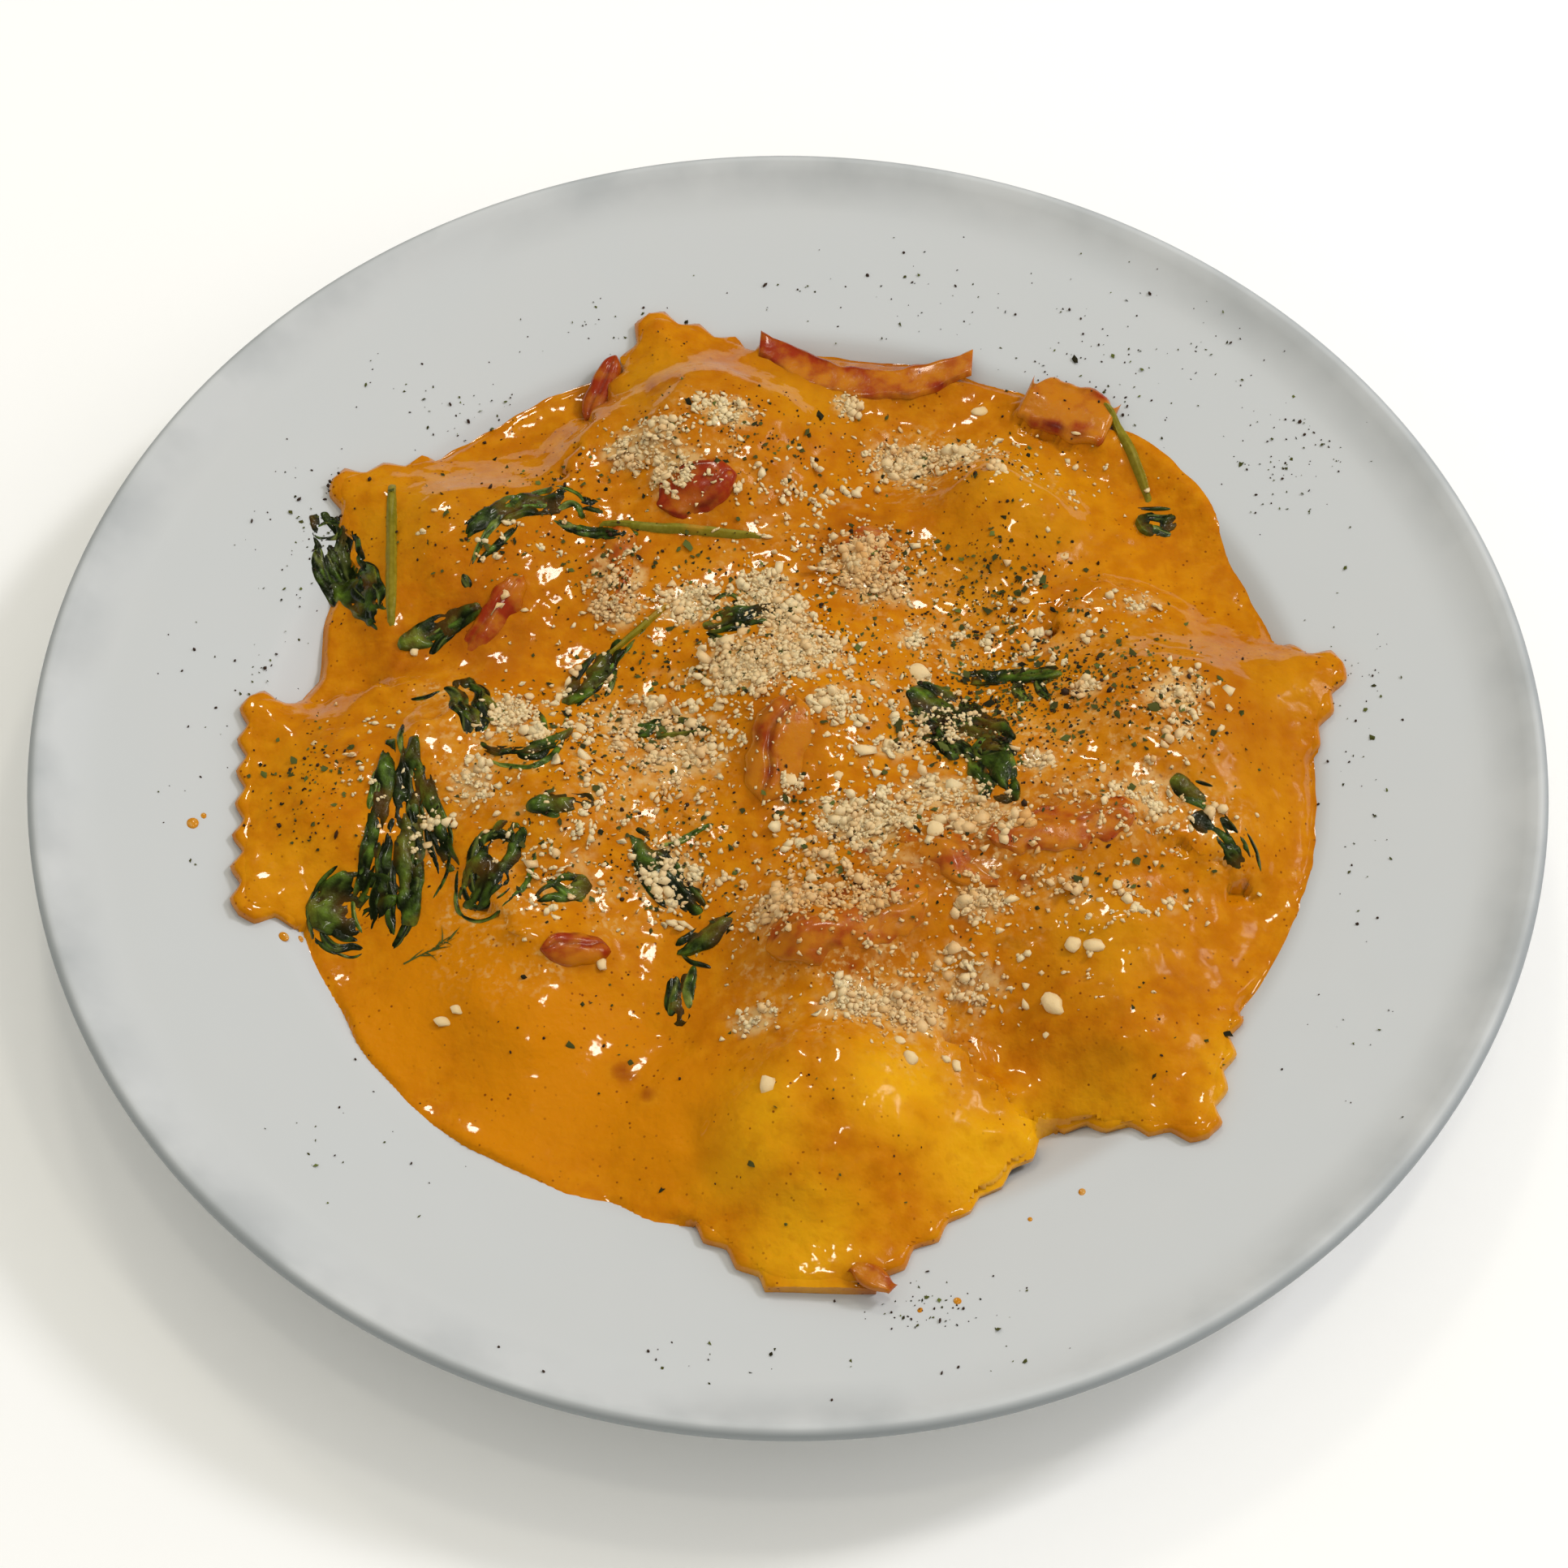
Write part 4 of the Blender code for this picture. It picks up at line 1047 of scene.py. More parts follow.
def make_raviolo(name, finish):
    """One raviolo: its solid's drape and pillow, with a fluted edge, a rounded rim and wrinkles."""
    here, grid, sizes = serving(), serving().grid, bpy.context.scene.dish_pasta
    seed = 20 + int(name[-2:])
    points, triangles = solid(name)
    middle, degrees, low, high = square_round(points)
    tooth = in_mm(sizes.tooth) / 2
    half = (high - low) / 2 - 0.55
    shares = np.linspace(-1, 1, sizes.steps + 1)
    u, v = np.meshgrid(shares, shares, indexing="ij")
    lobes = tooth * (1 + 0.35 * ripple(u * 30, v * 30, 6.0, seed))
    x = half[0] * u + np.sign(u) * lobes * flutes(v) * np.abs(u) ** 14
    y = half[1] * v + np.sign(v) * lobes * flutes(u) * np.abs(v) ** 14
    own = points[:, :2] - middle
    c, s = math.cos(math.radians(degrees)), math.sin(math.radians(degrees))
    own = own @ np.array([(c, -s), (s, c)])
    for side_x in (-1, 1):
        for side_y in (-1, 1):
            way = np.array([side_x, side_y]) / math.sqrt(2)
            past = np.clip(x * way[0] + y * way[1] - (own @ way).max() - 0.3, 0, None)
            x, y = x - past * way[0], y - past * way[1]
    x, y = middle[0] + x * c - y * s, middle[1] + x * s + y * c
    x, y = x + 0.5 * ripple(x, y, 17.0, seed + 1), y + 0.5 * ripple(x, y, 17.0, seed + 2)
    top, bottom = grid.draped(points, triangles, 1), grid.draped(points, triangles, -1)
    inset = (1 - np.maximum(np.abs(u), np.abs(v))) * half.mean()
    edge = np.exp(-((inset / in_mm(sizes.edge_round)) ** 2))
    wrinkles = ripple(x, y, 9.0, seed + 3) + 0.35 * ripple(x, y, 3.4, seed + 4)
    low_side = grid.sample(grid.spread(bottom, 1.8), x, y) + 0.5 * edge
    high_side = grid.sample(grid.spread(top, 1.6), x, y) - 0.45 * edge + creased(x, y)
    high_side += in_mm(sizes.wrinkle) * wrinkles * (0.3 + 0.7 * (1 - edge))
    gap = low_side - grid.sample(grid.blur(here.top, 1.5), x, y)
    droop = smoothstep(84, 98, np.hypot(x, y)) * np.clip(gap, 0, 5.0) * np.exp(-((inset / 6.0) ** 2))
    low_side, high_side = low_side - droop, high_side - droop
    high_side = np.maximum(high_side, low_side + 0.35)
    mesh_points, faces = shell(x, y, high_side, low_side)
    tint = sauce_tint(mesh_points[:, 0], mesh_points[:, 1])
    mesh_piece(name + "_pasta", mesh_points, faces, finish, tint, (name,))
    level = np.full(grid.x.shape, -np.inf)
    dense = [grid_upsampled(field, 2).ravel() for field in (x, y, high_side)]
    grid.raise_to(level, np.stack(dense, -1))
    here.pasta = np.fmax(here.pasta, np.where(np.isfinite(level), level, np.nan))
    grid.raise_to(here.top, np.stack(dense, -1))


def grid_upsampled(field, times_finer):
    """The field on a finer net, by straight lines between its points."""
    for _ in range(2):
        count = len(field)
        fine = np.linspace(0, count - 1, (count - 1) * times_finer + 1)
        below = np.minimum(fine.astype(int), count - 2)
        share = (fine - below)[:, None]
        field = (field[below] * (1 - share) + field[below + 1] * share).T
    return field


def edge_span(points, triangles, stations):
    """Lowest and highest y of a flat outline at each x."""
    ends = np.concatenate([triangles[:, [0, 1]], triangles[:, [1, 2]], triangles[:, [2, 0]]])
    a, b = points[ends[:, 0]], points[ends[:, 1]]
    run = np.where(np.abs(b[:, 0] - a[:, 0]) < 1e-6, 1e-6, b[:, 0] - a[:, 0])
    low, high = [], []
    for x in stations:
        share = (x - a[:, 0]) / run
        y = (a[:, 1] + share * (b[:, 1] - a[:, 1]))[(share >= 0) & (share <= 1)]
        low.append(y.min())
        high.append(y.max())
    return np.array(low), np.array(high)


def strip_net(name, spacing, ragged, wider=1.0, blunt=0.0):
    """Net over a loose piece, as places, shares along and across, and its two heights."""
    grid = serving().grid
    points, triangles = solid(name)
    middle, degrees, low, high = square_round(points)
    if high[0] - low[0] < high[1] - low[1]:
        degrees += 90
    c, s = math.cos(math.radians(degrees)), math.sin(math.radians(degrees))
    own = (points[:, :2] - middle) @ np.array([(c, -s), (s, c)])
    long = own[:, 0].max() - own[:, 0].min()
    count = max(12, int(long / spacing))
    shares = np.sin(np.linspace(-0.5, 0.5, count + 1) * math.pi)
    reach = own[:, 0].min() + long * (0.5 + 0.5 * shares * 0.995)
    near, far = edge_span(own, triangles, reach)
    kernel = np.array([1, 2, 3, 2, 1]) / 9
    near, far = (np.convolve(np.pad(side, 2, mode="edge"), kernel, "valid") for side in (near, far))
    wide = max(8, int((far - near).max() / spacing))
    across = np.linspace(-1, 1, wide + 1)
    u, v = np.meshgrid(shares, across, indexing="ij")
    seed = sum(ord(letter) for letter in name)
    half = wider * np.maximum((far - near) / 2, blunt * np.median((far - near) / 2))
    nibble = ragged * (1 + ripple(reach, 0 * reach, 2.6, seed))[:, None] * (near - far)[:, None] / 12
    x = np.broadcast_to(reach[:, None], u.shape) + 0 * v
    y = (near + far)[:, None] / 2 + v * (half[:, None] + nibble)
    x, y = middle[0] + x * c - y * s, middle[1] + x * s + y * c
    top, bottom = grid.draped(points, triangles, 1), grid.draped(points, triangles, -1)
    low_side = grid.sample(grid.spread(bottom, 1.5), x, y)
    thick = np.clip(grid.sample(grid.spread(top, 1.5), x, y) - low_side, 0.8, None)
    return x, y, u, v, low_side, thick, seed


def add_loose(name, x, y, top, bottom, finish, tint, suffix):
    """Adds a loose piece and raises the uppermost surface to it."""
    points, faces = shell(x, y, top, bottom)
    tint = np.concatenate([tint.reshape(-1, 3)] * 2)
    mesh_piece(name + suffix, points, faces, finish, tint, (name,))
    serving().grid.raise_to(serving().top, np.stack([x.ravel(), y.ravel(), top.ravel()], -1))


def make_pepper(name, finish):
    """One piece of roasted pepper: a limp strip with a rolled dark edge and a fold or two."""
    folded, sunk, level, high, wider = PEPPER_PIECES[name]
    x, y, u, v, bottom, thick, seed = strip_net(name, 0.6, 0.9, wider, 0.0 if folded else 0.8)
    ragged = 0.22 * ripple(x, y, 5.0, seed + 8) + 0.10 * ripple(x, y, 2.0, seed + 9)
    square = 3 if folded else 9
    crown = np.clip(1 - np.abs(v) ** square + ragged, 0, 1) ** 0.5 * np.clip(1 - np.abs(u) ** (2 * square), 0, 1) ** 0.5
    lumps = ripple(x, y, 5.5, seed + 1) + 0.5 * ripple(x, y, 2.2, seed + 2)
    fold = np.exp(-(((v - 0.5 * ripple(u * 9, 0 * u, 6.0, seed + 3)) / 0.11) ** 2))
    rolled = np.exp(-(((np.abs(v) - 0.78) / 0.13) ** 2))
    body = 0.66 + 0.09 * lumps - 0.22 * folded * fold + 0.08 * rolled
    top = bottom + high * thick * crown * body + 0.12
    reddest = spots(x, y, REDDEST)
    redness = level + 1.1 * reddest + 0.25 * ripple(x, y, 4.0, seed + 4)
    dark = 0.5 * rolled * (0.3 + ripple(x, y, 5.0, seed + 5)) + 0.8 * folded * fold + 0.5 * reddest * rolled
    wet = smoothstep(0.05, 0.8, ripple(x, y, 5.0, seed + 6) + 0.6 * ripple(x, y, 1.6, seed + 7))
    tint = np.stack([np.clip(redness, 0, 1), np.clip(dark, 0, 0.8), 0.7 * wet * (1 - 0.8 * reddest)], -1)
    sunk = sunk + 0.22 * ripple(x, y, 6.0, seed + 10) + 0.12 * ripple(x, y, 2.2, seed + 11)
    note_drowned(x, y, bottom + sunk * (top - bottom))
    add_loose(name, x, y, top, bottom, finish, tint, "_strip")


def crumple(along, across, seed):
    """Relief from 0 to 1 of wilted leaf: smooth swellings between sharp creases, and fine veins."""
    sway = 1.3 * ripple(along, across, 6.0, seed)
    swell = np.abs(ripple(along / 2.6 + sway, across + sway, 2.7, seed + 1)) ** 0.6
    small = np.abs(ripple(along / 1.6, across + 0.5 * sway, 1.5, seed + 2)) ** 0.7
    veins = 1 - np.abs(ripple(along / 1.2, across, 1.1, seed + 3))
    return np.clip(0.62 * swell + 0.30 * small + 0.14 * veins**2, 0, 1)


def smooth_path(points, spacing):
    """Evenly spaced places on a smooth curve near some points."""
    points = np.array(points, float)
    for _ in range(3):
        inner = np.stack([0.75 * points[:-1] + 0.25 * points[1:], 0.25 * points[:-1] + 0.75 * points[1:]], 1)
        points = np.concatenate([points[:1], inner.reshape(-1, 2), points[-1:]])
    run = np.concatenate([[0], np.cumsum(np.hypot(*np.diff(points, axis=0).T))])
    where = np.linspace(0, run[-1], max(8, int(run[-1] / spacing)))
    return np.column_stack([np.interp(where, run, points[:, k]) for k in (0, 1)]), where


def make_strand(middle, strand, bed, seed):
    """Points, faces and tint of one gathered strand of leaf, creased along its length."""
    grid = serving().grid
    width, paleness, *places = strand
    path, run = smooth_path(places, 0.4)
    path = path + middle
    way = np.gradient(path, axis=0)
    aside = np.column_stack([-way[:, 1], way[:, 0]]) / np.hypot(*way.T)[:, None]
    taper = np.sin(math.pi * np.clip((run + 0.3) / (run[-1] + 0.6), 0, 1)) ** 0.45
    half = 0.48 * width * taper * (1 + 0.30 * ripple(run, 0 * run, 4.0, seed))
    path = path + aside * (0.22 * width * ripple(run, 0 * run, 4.0, seed + 1))[:, None]
    shares = np.linspace(-1, 1, max(7, 2 * int(width / 0.7) + 5))
    across = half[:, None] * shares
    x, y = (path[:, k, None] + across * aside[:, k, None] for k in (0, 1))
    along = np.broadcast_to(run[:, None], across.shape)
    creases = np.abs(ripple(along / 5, across + 0.4 * ripple(along, across, 4.0, seed), 0.95, seed + 2)) ** 0.5
    pucker = 0.5 + 0.5 * ripple(along, across / 2, 1.3, seed + 3)
    arch = np.sqrt(np.clip(1 - shares**2, 0, 1)) * taper[:, None]
    under = grid.sample(bed, x, y) - 0.30
    crest = (0.50 + 0.12 * width) * arch * (0.40 + 0.65 * creases + 0.15 * pucker)
    top = np.minimum(under + crest, in_mm(CAD_BOX[1][2]) - 0.3)
    points, faces = shell(x, y, top, under - 0.9)
    # Paleness of the strand, raised on the crests of the creases as a painted highlight and lowered in their hollows as
    # painted shade.
    light = np.clip(paleness + 1.5 * (creases * pucker - 0.38), 0, 1)
    rib = smoothstep(0.84, 1.0, 1 - np.abs(ripple(along / 6, across, 1.7, seed + 4))) * (0.5 + paleness)
    wet = 0.3 * smoothstep(0.3, 0.0, arch) + 0.2 * smoothstep(0.7, 1.0, ripple(x, y, 3.0, seed + 5))
    tint = np.stack([light, np.clip(0.8 * rib, 0, 1), np.clip(wet, 0, 0.85)], -1).reshape(-1, 3)
    serving().grid.raise_to(serving().top, np.stack([x.ravel(), y.ravel(), top.ravel()], -1))
    return points, faces, np.concatenate([tint, tint])


def make_leaf(name, finish):
    """One spinach leaf, wilted and gathered into strands, with a crumpled sheet under them."""
    here, grid = serving(), serving().grid
    x, y, u, v, _, _, seed = strip_net(name, 0.6, 1.0)
    bed = here.bed
    bottom = grid.sample(bed, x, y) - 0.8
    long = np.hypot(x[-1] - x[0], y[-1] - y[0]).max() / 2
    wide = np.hypot(x[:, -1] - x[:, 0], y[:, -1] - y[:, 0])[:, None] / 2
    relief = crumple(u * long, v * wide, seed)
    fade = smoothstep(0.0, 0.35, 1 - np.abs(v) ** 2) * smoothstep(0.0, 0.3, 1 - np.abs(u) ** 2)
    top = bottom + np.clip(fade * (0.15 + 2.0 * relief + 0.6 * ripple(x, y, 3.0, seed + 7)), 0.05, 2.0)
    # Painted highlight on the raised crumples and painted shade in the low folds.
    light = np.clip(2.2 * (relief - 0.48), 0, 1)
    wet = 0.12 * smoothstep(-0.2, 0.6, ripple(x, y, 4.0, seed + 8))
    tint = np.stack([light, 0 * light, wet], -1).reshape(-1, 3)
    points, faces = shell(x, y, top, bottom)
    parts = [(points, faces, np.concatenate([tint, tint]))]
    low_corner, high_corner = (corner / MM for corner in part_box(name))
    middle = np.array([(low_corner.x + high_corner.x) / 2, (low_corner.y + high_corner.y) / 2])
    for number, strand in enumerate(STRANDS[name]):
        parts.append(make_strand(middle, strand, bed, seed + 10 * number))
    joined_piece(name + "_leaf", parts, finish, (name,))


def joined_piece(name, parts, finish, replaces=()):
    """One mesh from several sets of points, faces and tint."""
    starts = np.cumsum([0] + [len(points) for points, _, _ in parts[:-1]])
    points = np.concatenate([part[0] for part in parts])
    faces = np.concatenate([part[1] + start for part, start in zip(parts, starts)])
    mesh_piece(name, points, faces, finish, np.concatenate([part[2] for part in parts]), replaces)


def note_drowned(x, y, level):
    """Notes how high the sauce stands over a loose piece."""
    here = serving()
    found = np.full(here.grid.x.shape, -np.inf)
    here.grid.raise_to(found, np.stack([grid_upsampled(part, 2).ravel() for part in (x, y, level)], -1))
    here.drowned = np.fmax(here.drowned, np.where(np.isfinite(found), found, np.nan))


def make_stem(name, finish):
    """One cooked stem: a ribbed, half-round stalk that lies in the sauce."""
    x, y, u, v, _, thick, seed = strip_net(name, 0.35, 0.4, blunt=0.85)
    bottom = serving().grid.sample(serving().bed, x, y) - 0.7
    crown = np.sqrt(np.clip(1 - v**2, 0, 1)) * np.clip(1 - np.abs(u) ** 10, 0, 1) ** 0.5
    ribs = 1 + 0.08 * np.cos(9 * np.arccos(np.clip(v, -1, 1)))
    top = bottom + thick * crown * ribs * (0.9 + 0.1 * ripple(x, y, 4.0, seed)) + 0.05
    pale = 0.5 + 0.5 * ripple(x, y, 6.0, seed + 1)
    wet = smoothstep(0.4, 0.9, ripple(x, y, 5.0, seed + 2))
    tint = np.stack([pale, 0 * pale, 0.6 * wet], -1)
    add_loose(name, x, y, top, bottom, finish, tint, "_stalk")


def shore_distance(x, y):
    """Distance in from the sauce's shore, along the radius. It is below zero on the bare rim."""
    points, _ = solid("sauce")
    bearing = np.degrees(np.arctan2(points[:, 1], points[:, 0])) % 360
    radius = np.hypot(points[:, 0], points[:, 1])
    bins = np.arange(0, 360, 6)
    gap = np.abs((bearing[None] - bins[:, None] + 180) % 360 - 180)
    reach = np.array([radius[near < 0.2].max() for near in gap])
    angle = np.degrees(np.arctan2(y, x)) % 360
    edge = np.interp(angle, np.append(bins, 360), np.append(reach, reach[0]))
    ragged = 0.5 * ripple(x, y, 13.0, 61) + 0.25 * ripple(x, y, 4.0, 62)
    spilt = sum(reach * np.exp(-(((x - cx) ** 2 + (y - cy) ** 2) / wide**2) ** 2) for cx, cy, wide, reach in SPILLS)
    return edge - 0.5 + ragged + spilt - np.hypot(x, y)


def sauce_levels():
    """The sauce's upper surface on the grid, and where it is kept."""
    here, grid, sizes = serving(), serving().grid, bpy.context.scene.dish_sauce
    points, triangles = solid("sauce")
    pasta_here = np.isfinite(here.pasta)
    inward = shore_distance(grid.x, grid.y)
    pool_top = grid.draped(points, triangles, 1)
    level = np.nanmedian(pool_top[~pasta_here & (grid.radius > 88) & (inward > 5)])
    bead = 1 - np.clip(1 - inward / in_mm(sizes.bead), 0, 1) ** 2
    drowning = spots(grid.x, grid.y, FLOODED)
    deep = np.maximum(level - here.plate, np.maximum(0.9, 3.2 * drowning))
    under = np.maximum(2 * deep * inward / in_mm(sizes.bead), -1.1)
    pool = here.plate + np.where(inward > 0, deep * bead, under)
    food = (pasta_here | (inward > 0)).astype(float)
    inner = np.maximum(smoothstep(0.60, 0.95, grid.blur(food, 2.2)), smoothstep(0.3, 0.7, drowning))
    film = in_mm(sizes.film) * (1 + 0.8 * ripple(grid.x, grid.y, 12.0, 63))
    on_pasta = here.pasta + inner * film - (1 - inner) * 0.8
    target = np.where(pasta_here, np.fmax(on_pasta, pool), pool)
    target = np.fmax(target, np.where(inner > 0.5, here.drowned, np.nan))
    top = target
    for _ in range(8):
        top = np.maximum(grid.blur(top, 1.9), target)
    filled = top
    for _ in range(8):
        filled = np.maximum(grid.blur(filled, 3.2), target)
    flooded = np.maximum(smoothstep(78, 60, grid.radius), drowning)
    top = grid.blur(top, 0.8)
    top = np.where(pasta_here | (inward < 4), np.minimum(top, target + 3.5 * inner), top)
    top = top + flooded * (grid.blur(filled, 1.2) - top)
    shallow = pool + 1.2 * np.maximum(inward, 0)
    top = np.where(pasta_here, top, np.minimum(top, shallow))
    dry = spots(grid.x, grid.y, DRY)
    low = np.where(pasta_here, on_pasta, pool) + 0.2
    top = top + dry * (np.minimum(top, low) - top)
    fine = ripple(grid.x, grid.y, 4.2, 68) + ripple(grid.x, grid.y, 2.7, 65) + 0.7 * ripple(grid.x, grid.y, 1.6, 66)
    lively = (0.15 + 0.85 * grid.blur(pasta_here.astype(float), 3.0)) * (1 - 0.8 * drowning)
    top = top + in_mm(sizes.ripple) * fine * lively * inner
    kept = (grid.blur(pasta_here.astype(float), 0.9) > 0.80) | (inward > -1.8)
    return top, kept, pasta_here


def make_sauce(finish):
    """The sauce: a pool in the well and a film over the pasta, as one closed body."""
    here, grid = serving(), serving().grid
    top, kept, pasta_here = sauce_levels()
    bottom = np.where(pasta_here, top - 1.3, np.minimum(here.plate - 0.4, top - 0.4))
    bottom = np.maximum(bottom, here.plate - 2.0)
    cell = kept[:-1, :-1] & kept[1:, :-1] & kept[1:, 1:] & kept[:-1, 1:]
    i, j = np.nonzero(cell)
    corners = [(i, j), (i + 1, j), (i + 1, j + 1), (i, j + 1)]
    count = grid.x.size
    columns = grid.x.shape[1]
    upper = np.stack([a * columns + b for a, b in corners], -1)
    lower = upper[:, ::-1] + count
    rims = []
    for start, end, step in (((0, 0), (1, 0), (0, -1)), ((1, 0), (1, 1), (1, 0)), ((1, 1), (0, 1), (0, 1)), ((0, 1), (0, 0), (-1, 0))):
        beyond = np.pad(cell, 1)[1 + step[0] : 1 + step[0] + cell.shape[0], 1 + step[1] : 1 + step[1] + cell.shape[1]]
        a, b = np.nonzero(cell & ~beyond)
        first = (a + start[0]) * columns + b + start[1]
        second = (a + end[0]) * columns + b + end[1]
        rims.append(np.stack([first, first + count, second + count, second], -1))
    faces = np.concatenate([upper, lower] + rims)
    used, faces = np.unique(faces, return_inverse=True)
    faces = faces.reshape(-1, 4)
    points = np.concatenate([np.stack([grid.x, grid.y, z], -1).reshape(-1, 3) for z in (top, bottom)])[used]
    tint = sauce_tint(points[:, 0], points[:, 1])
    mesh_piece("sauce_coat", points, faces, finish, tint, ("sauce",))
    here.sauce = np.where(kept, top, -np.inf)
    here.top = np.maximum(here.top, here.sauce)


def make_drips(finish):
    """Spots of sauce dropped on the rim, as low domes."""
    rng = np.random.default_rng(71)
    shape, triangles = ball(3)
    table = np.array(DRIPS)
    heights = plate_height(np.hypot(table[:, 0], table[:, 1]))
    places = np.column_stack([table[:, :2], heights])
    sizes = np.column_stack([table[:, 2] / 2 * rng.uniform(0.8, 1.5, len(table)), table[:, 2] / 2, 0.16 * table[:, 2]])
    turns = random_turns(rng, len(table), 0.02)
    points, faces, _ = strewn([(shape, triangles)], places, sizes, turns, rng)
    tint = np.tile((0.2, 0.5, 0.1), (len(points), 1))
    mesh_piece("sauce_drips", points, faces, finish, tint)


def crumb_shapes(rng, subdivisions, kinds, roughness):
    """Balls knocked out of round, as grated crumbs are."""
    shape, triangles = ball(subdivisions)
    made = []
    for _ in range(kinds):
        bumps = 1 + rng.normal(0, roughness, (len(shape), 1))
        made.append((shape * bumps * rng.uniform(0.6, 1.4, 3), triangles))
    return made


def strew_cheese(name, finish, rng, spot, size, shapes, lift):
    """One mesh of cheese crumbs at these places, lifted off what they lie on."""
    here = serving()
    places = np.column_stack([spot, here.height(*spot.T) - 0.12 * size + lift])
    scale = size[:, None] * rng.uniform(0.7, 1.3, (len(spot), 3)) * (1, 1, 0.5)
    points, faces, owner = strewn(shapes, places, scale, random_turns(rng, len(spot), 0.5), rng)
    browned = spots(spot[:, 0], spot[:, 1], BROWNED)
    warm = (0.5 * rng.uniform(0, 1, len(spot)) ** 2 + browned * rng.uniform(0.3, 1.1, len(spot))).clip(0, 1)
    proud = points[:, 2] - here.height(points[:, 0], points[:, 1])
    tint = np.column_stack([0.6 * smoothstep(0.20, -0.15, proud), warm[owner], 0 * owner])
    mesh_piece(name, points, faces, finish, tint, sharp=180.0)


def clump_shapes(rng, kinds):
    """Knots of five small lumps that run into each other."""
    shape, triangles = ball(1)
    made = []
    for _ in range(kinds):
        offsets = rng.normal(0, 0.56, (5, 3)) * (1, 1, 0.4)
        lumps = [shape * (1 + rng.normal(0, 0.18, (len(shape), 1))) * rng.uniform(0.35, 0.75) + at for at in offsets]
        faces = np.concatenate([triangles + len(shape) * k for k in range(5)])
        made.append((np.concatenate(lumps), faces))
    return made


def make_cheese(finish):
    """Grated cheese: clumps where it fell thickest, and fine crumbs over and between them."""
    sizes = bpy.context.scene.dish_toppings
    rng = np.random.default_rng(81)
    crumb = in_mm(sizes.crumb)
    clumps = [(x, y, 0.8 * wide, 0.8 * deep, int(0.30 * count)) for x, y, wide, deep, count in CHEESE]
    spot = clusters(clumps, rng)
    size = 2.1 * crumb * np.exp(rng.normal(0, 0.42, len(spot)))
    strew_cheese("cheese_clumps", finish, rng, spot, size, clump_shapes(rng, 12), np.abs(rng.normal(0, 0.25, len(spot))))
    fine = [(x, y, 1.15 * wide, 1.15 * deep, int(1.35 * count)) for x, y, wide, deep, count in CHEESE]
    spot = clusters(fine, rng)
    size = 0.88 * crumb * np.exp(rng.normal(0, 0.45, len(spot)))
    shapes = crumb_shapes(rng, 1, 8, 0.35)
    strew_cheese("grated_cheese", finish, rng, spot, size, shapes, np.abs(rng.normal(0, 0.20, len(spot))))


def make_grains(finish):
    """Larger single grains of cheese, smooth and half sunk."""
    here = serving()
    rng = np.random.default_rng(82)
    table = np.array(GRAINS)
    x, y, across = table.T
    places = np.column_stack([x, y, here.height(x, y)])
    shapes = crumb_shapes(rng, 2, 6, 0.10)
    scale = across[:, None] / 2 * np.column_stack([rng.uniform(0.7, 1.2, (len(x), 2)), np.full(len(x), 0.40)])
    points, faces, _ = strewn(shapes, places, scale, random_turns(rng, len(x), 0.15), rng)
    proud = points[:, 2] - here.height(points[:, 0], points[:, 1])
    tint = np.column_stack([0.1 + 0.5 * smoothstep(0.4, -0.1, proud), np.full(len(points), 0.12), np.zeros(len(points))])
    mesh_piece("cheese_grains", points, faces, finish, tint)


def flake_shapes(rng, kinds):
    """Thin leaf scraps with five or six uneven corners and a curl."""
    made = []
    for _ in range(kinds):
        corners = int(rng.integers(5, 7))
        angles = 2 * math.pi * (np.arange(corners) + rng.uniform(-0.3, 0.3, corners)) / corners
        reach = rng.uniform(0.35, 1.0, corners)
        rim = np.column_stack([reach * np.cos(angles), reach * np.sin(angles), rng.normal(0, 0.16, corners)])
        points = np.vstack([rim, (0, 0, 0.20), (0, 0, 0.08)])
        following = np.roll(np.arange(corners), -1)
        upper = np.column_stack([np.arange(corners), following, np.full(corners, corners)])
        lower = np.column_stack([following, np.arange(corners), np.full(corners, corners + 1)])
        made.append((points, np.vstack([upper, lower])))
    return made


def make_herbs(finish):
    """Dried herb flakes over the food and the rim, some flat, some on edge."""
    here, sizes = serving(), bpy.context.scene.dish_toppings
    rng = np.random.default_rng(91)
    on_food, on_rim = clusters(HERBS, rng), clusters(RIM_HERBS, rng)
    on_rim = on_rim[(np.hypot(*on_rim.T) < 148)]
    bare = here.height(*on_rim.T) < plate_height(np.hypot(*on_rim.T)) + 0.4
    spot = np.vstack([on_food, on_rim[bare]])
    size = in_mm(sizes.flake) / 2 * np.exp(rng.normal(0, 0.45, len(spot)))
    size[len(on_food) :] *= 0.62
    scale = size[:, None] * np.column_stack([np.ones(len(spot)), rng.uniform(0.35, 0.9, len(spot)), np.ones(len(spot))])
    places = np.column_stack([spot, here.height(*spot.T) + 0.10 + 0.08 * size])
    turns = random_turns(rng, len(spot), 0.30)
    points, faces, owner = strewn(flake_shapes(rng, 10), places, scale, turns, rng)
    pale, dark = rng.uniform(0, 1, len(spot)) ** 2, rng.uniform(0, 1, len(spot)) ** 1.5
    tint = np.column_stack([pale[owner], dark[owner], 0 * owner])
    mesh_piece("herb_flakes", points, faces, finish, tint)


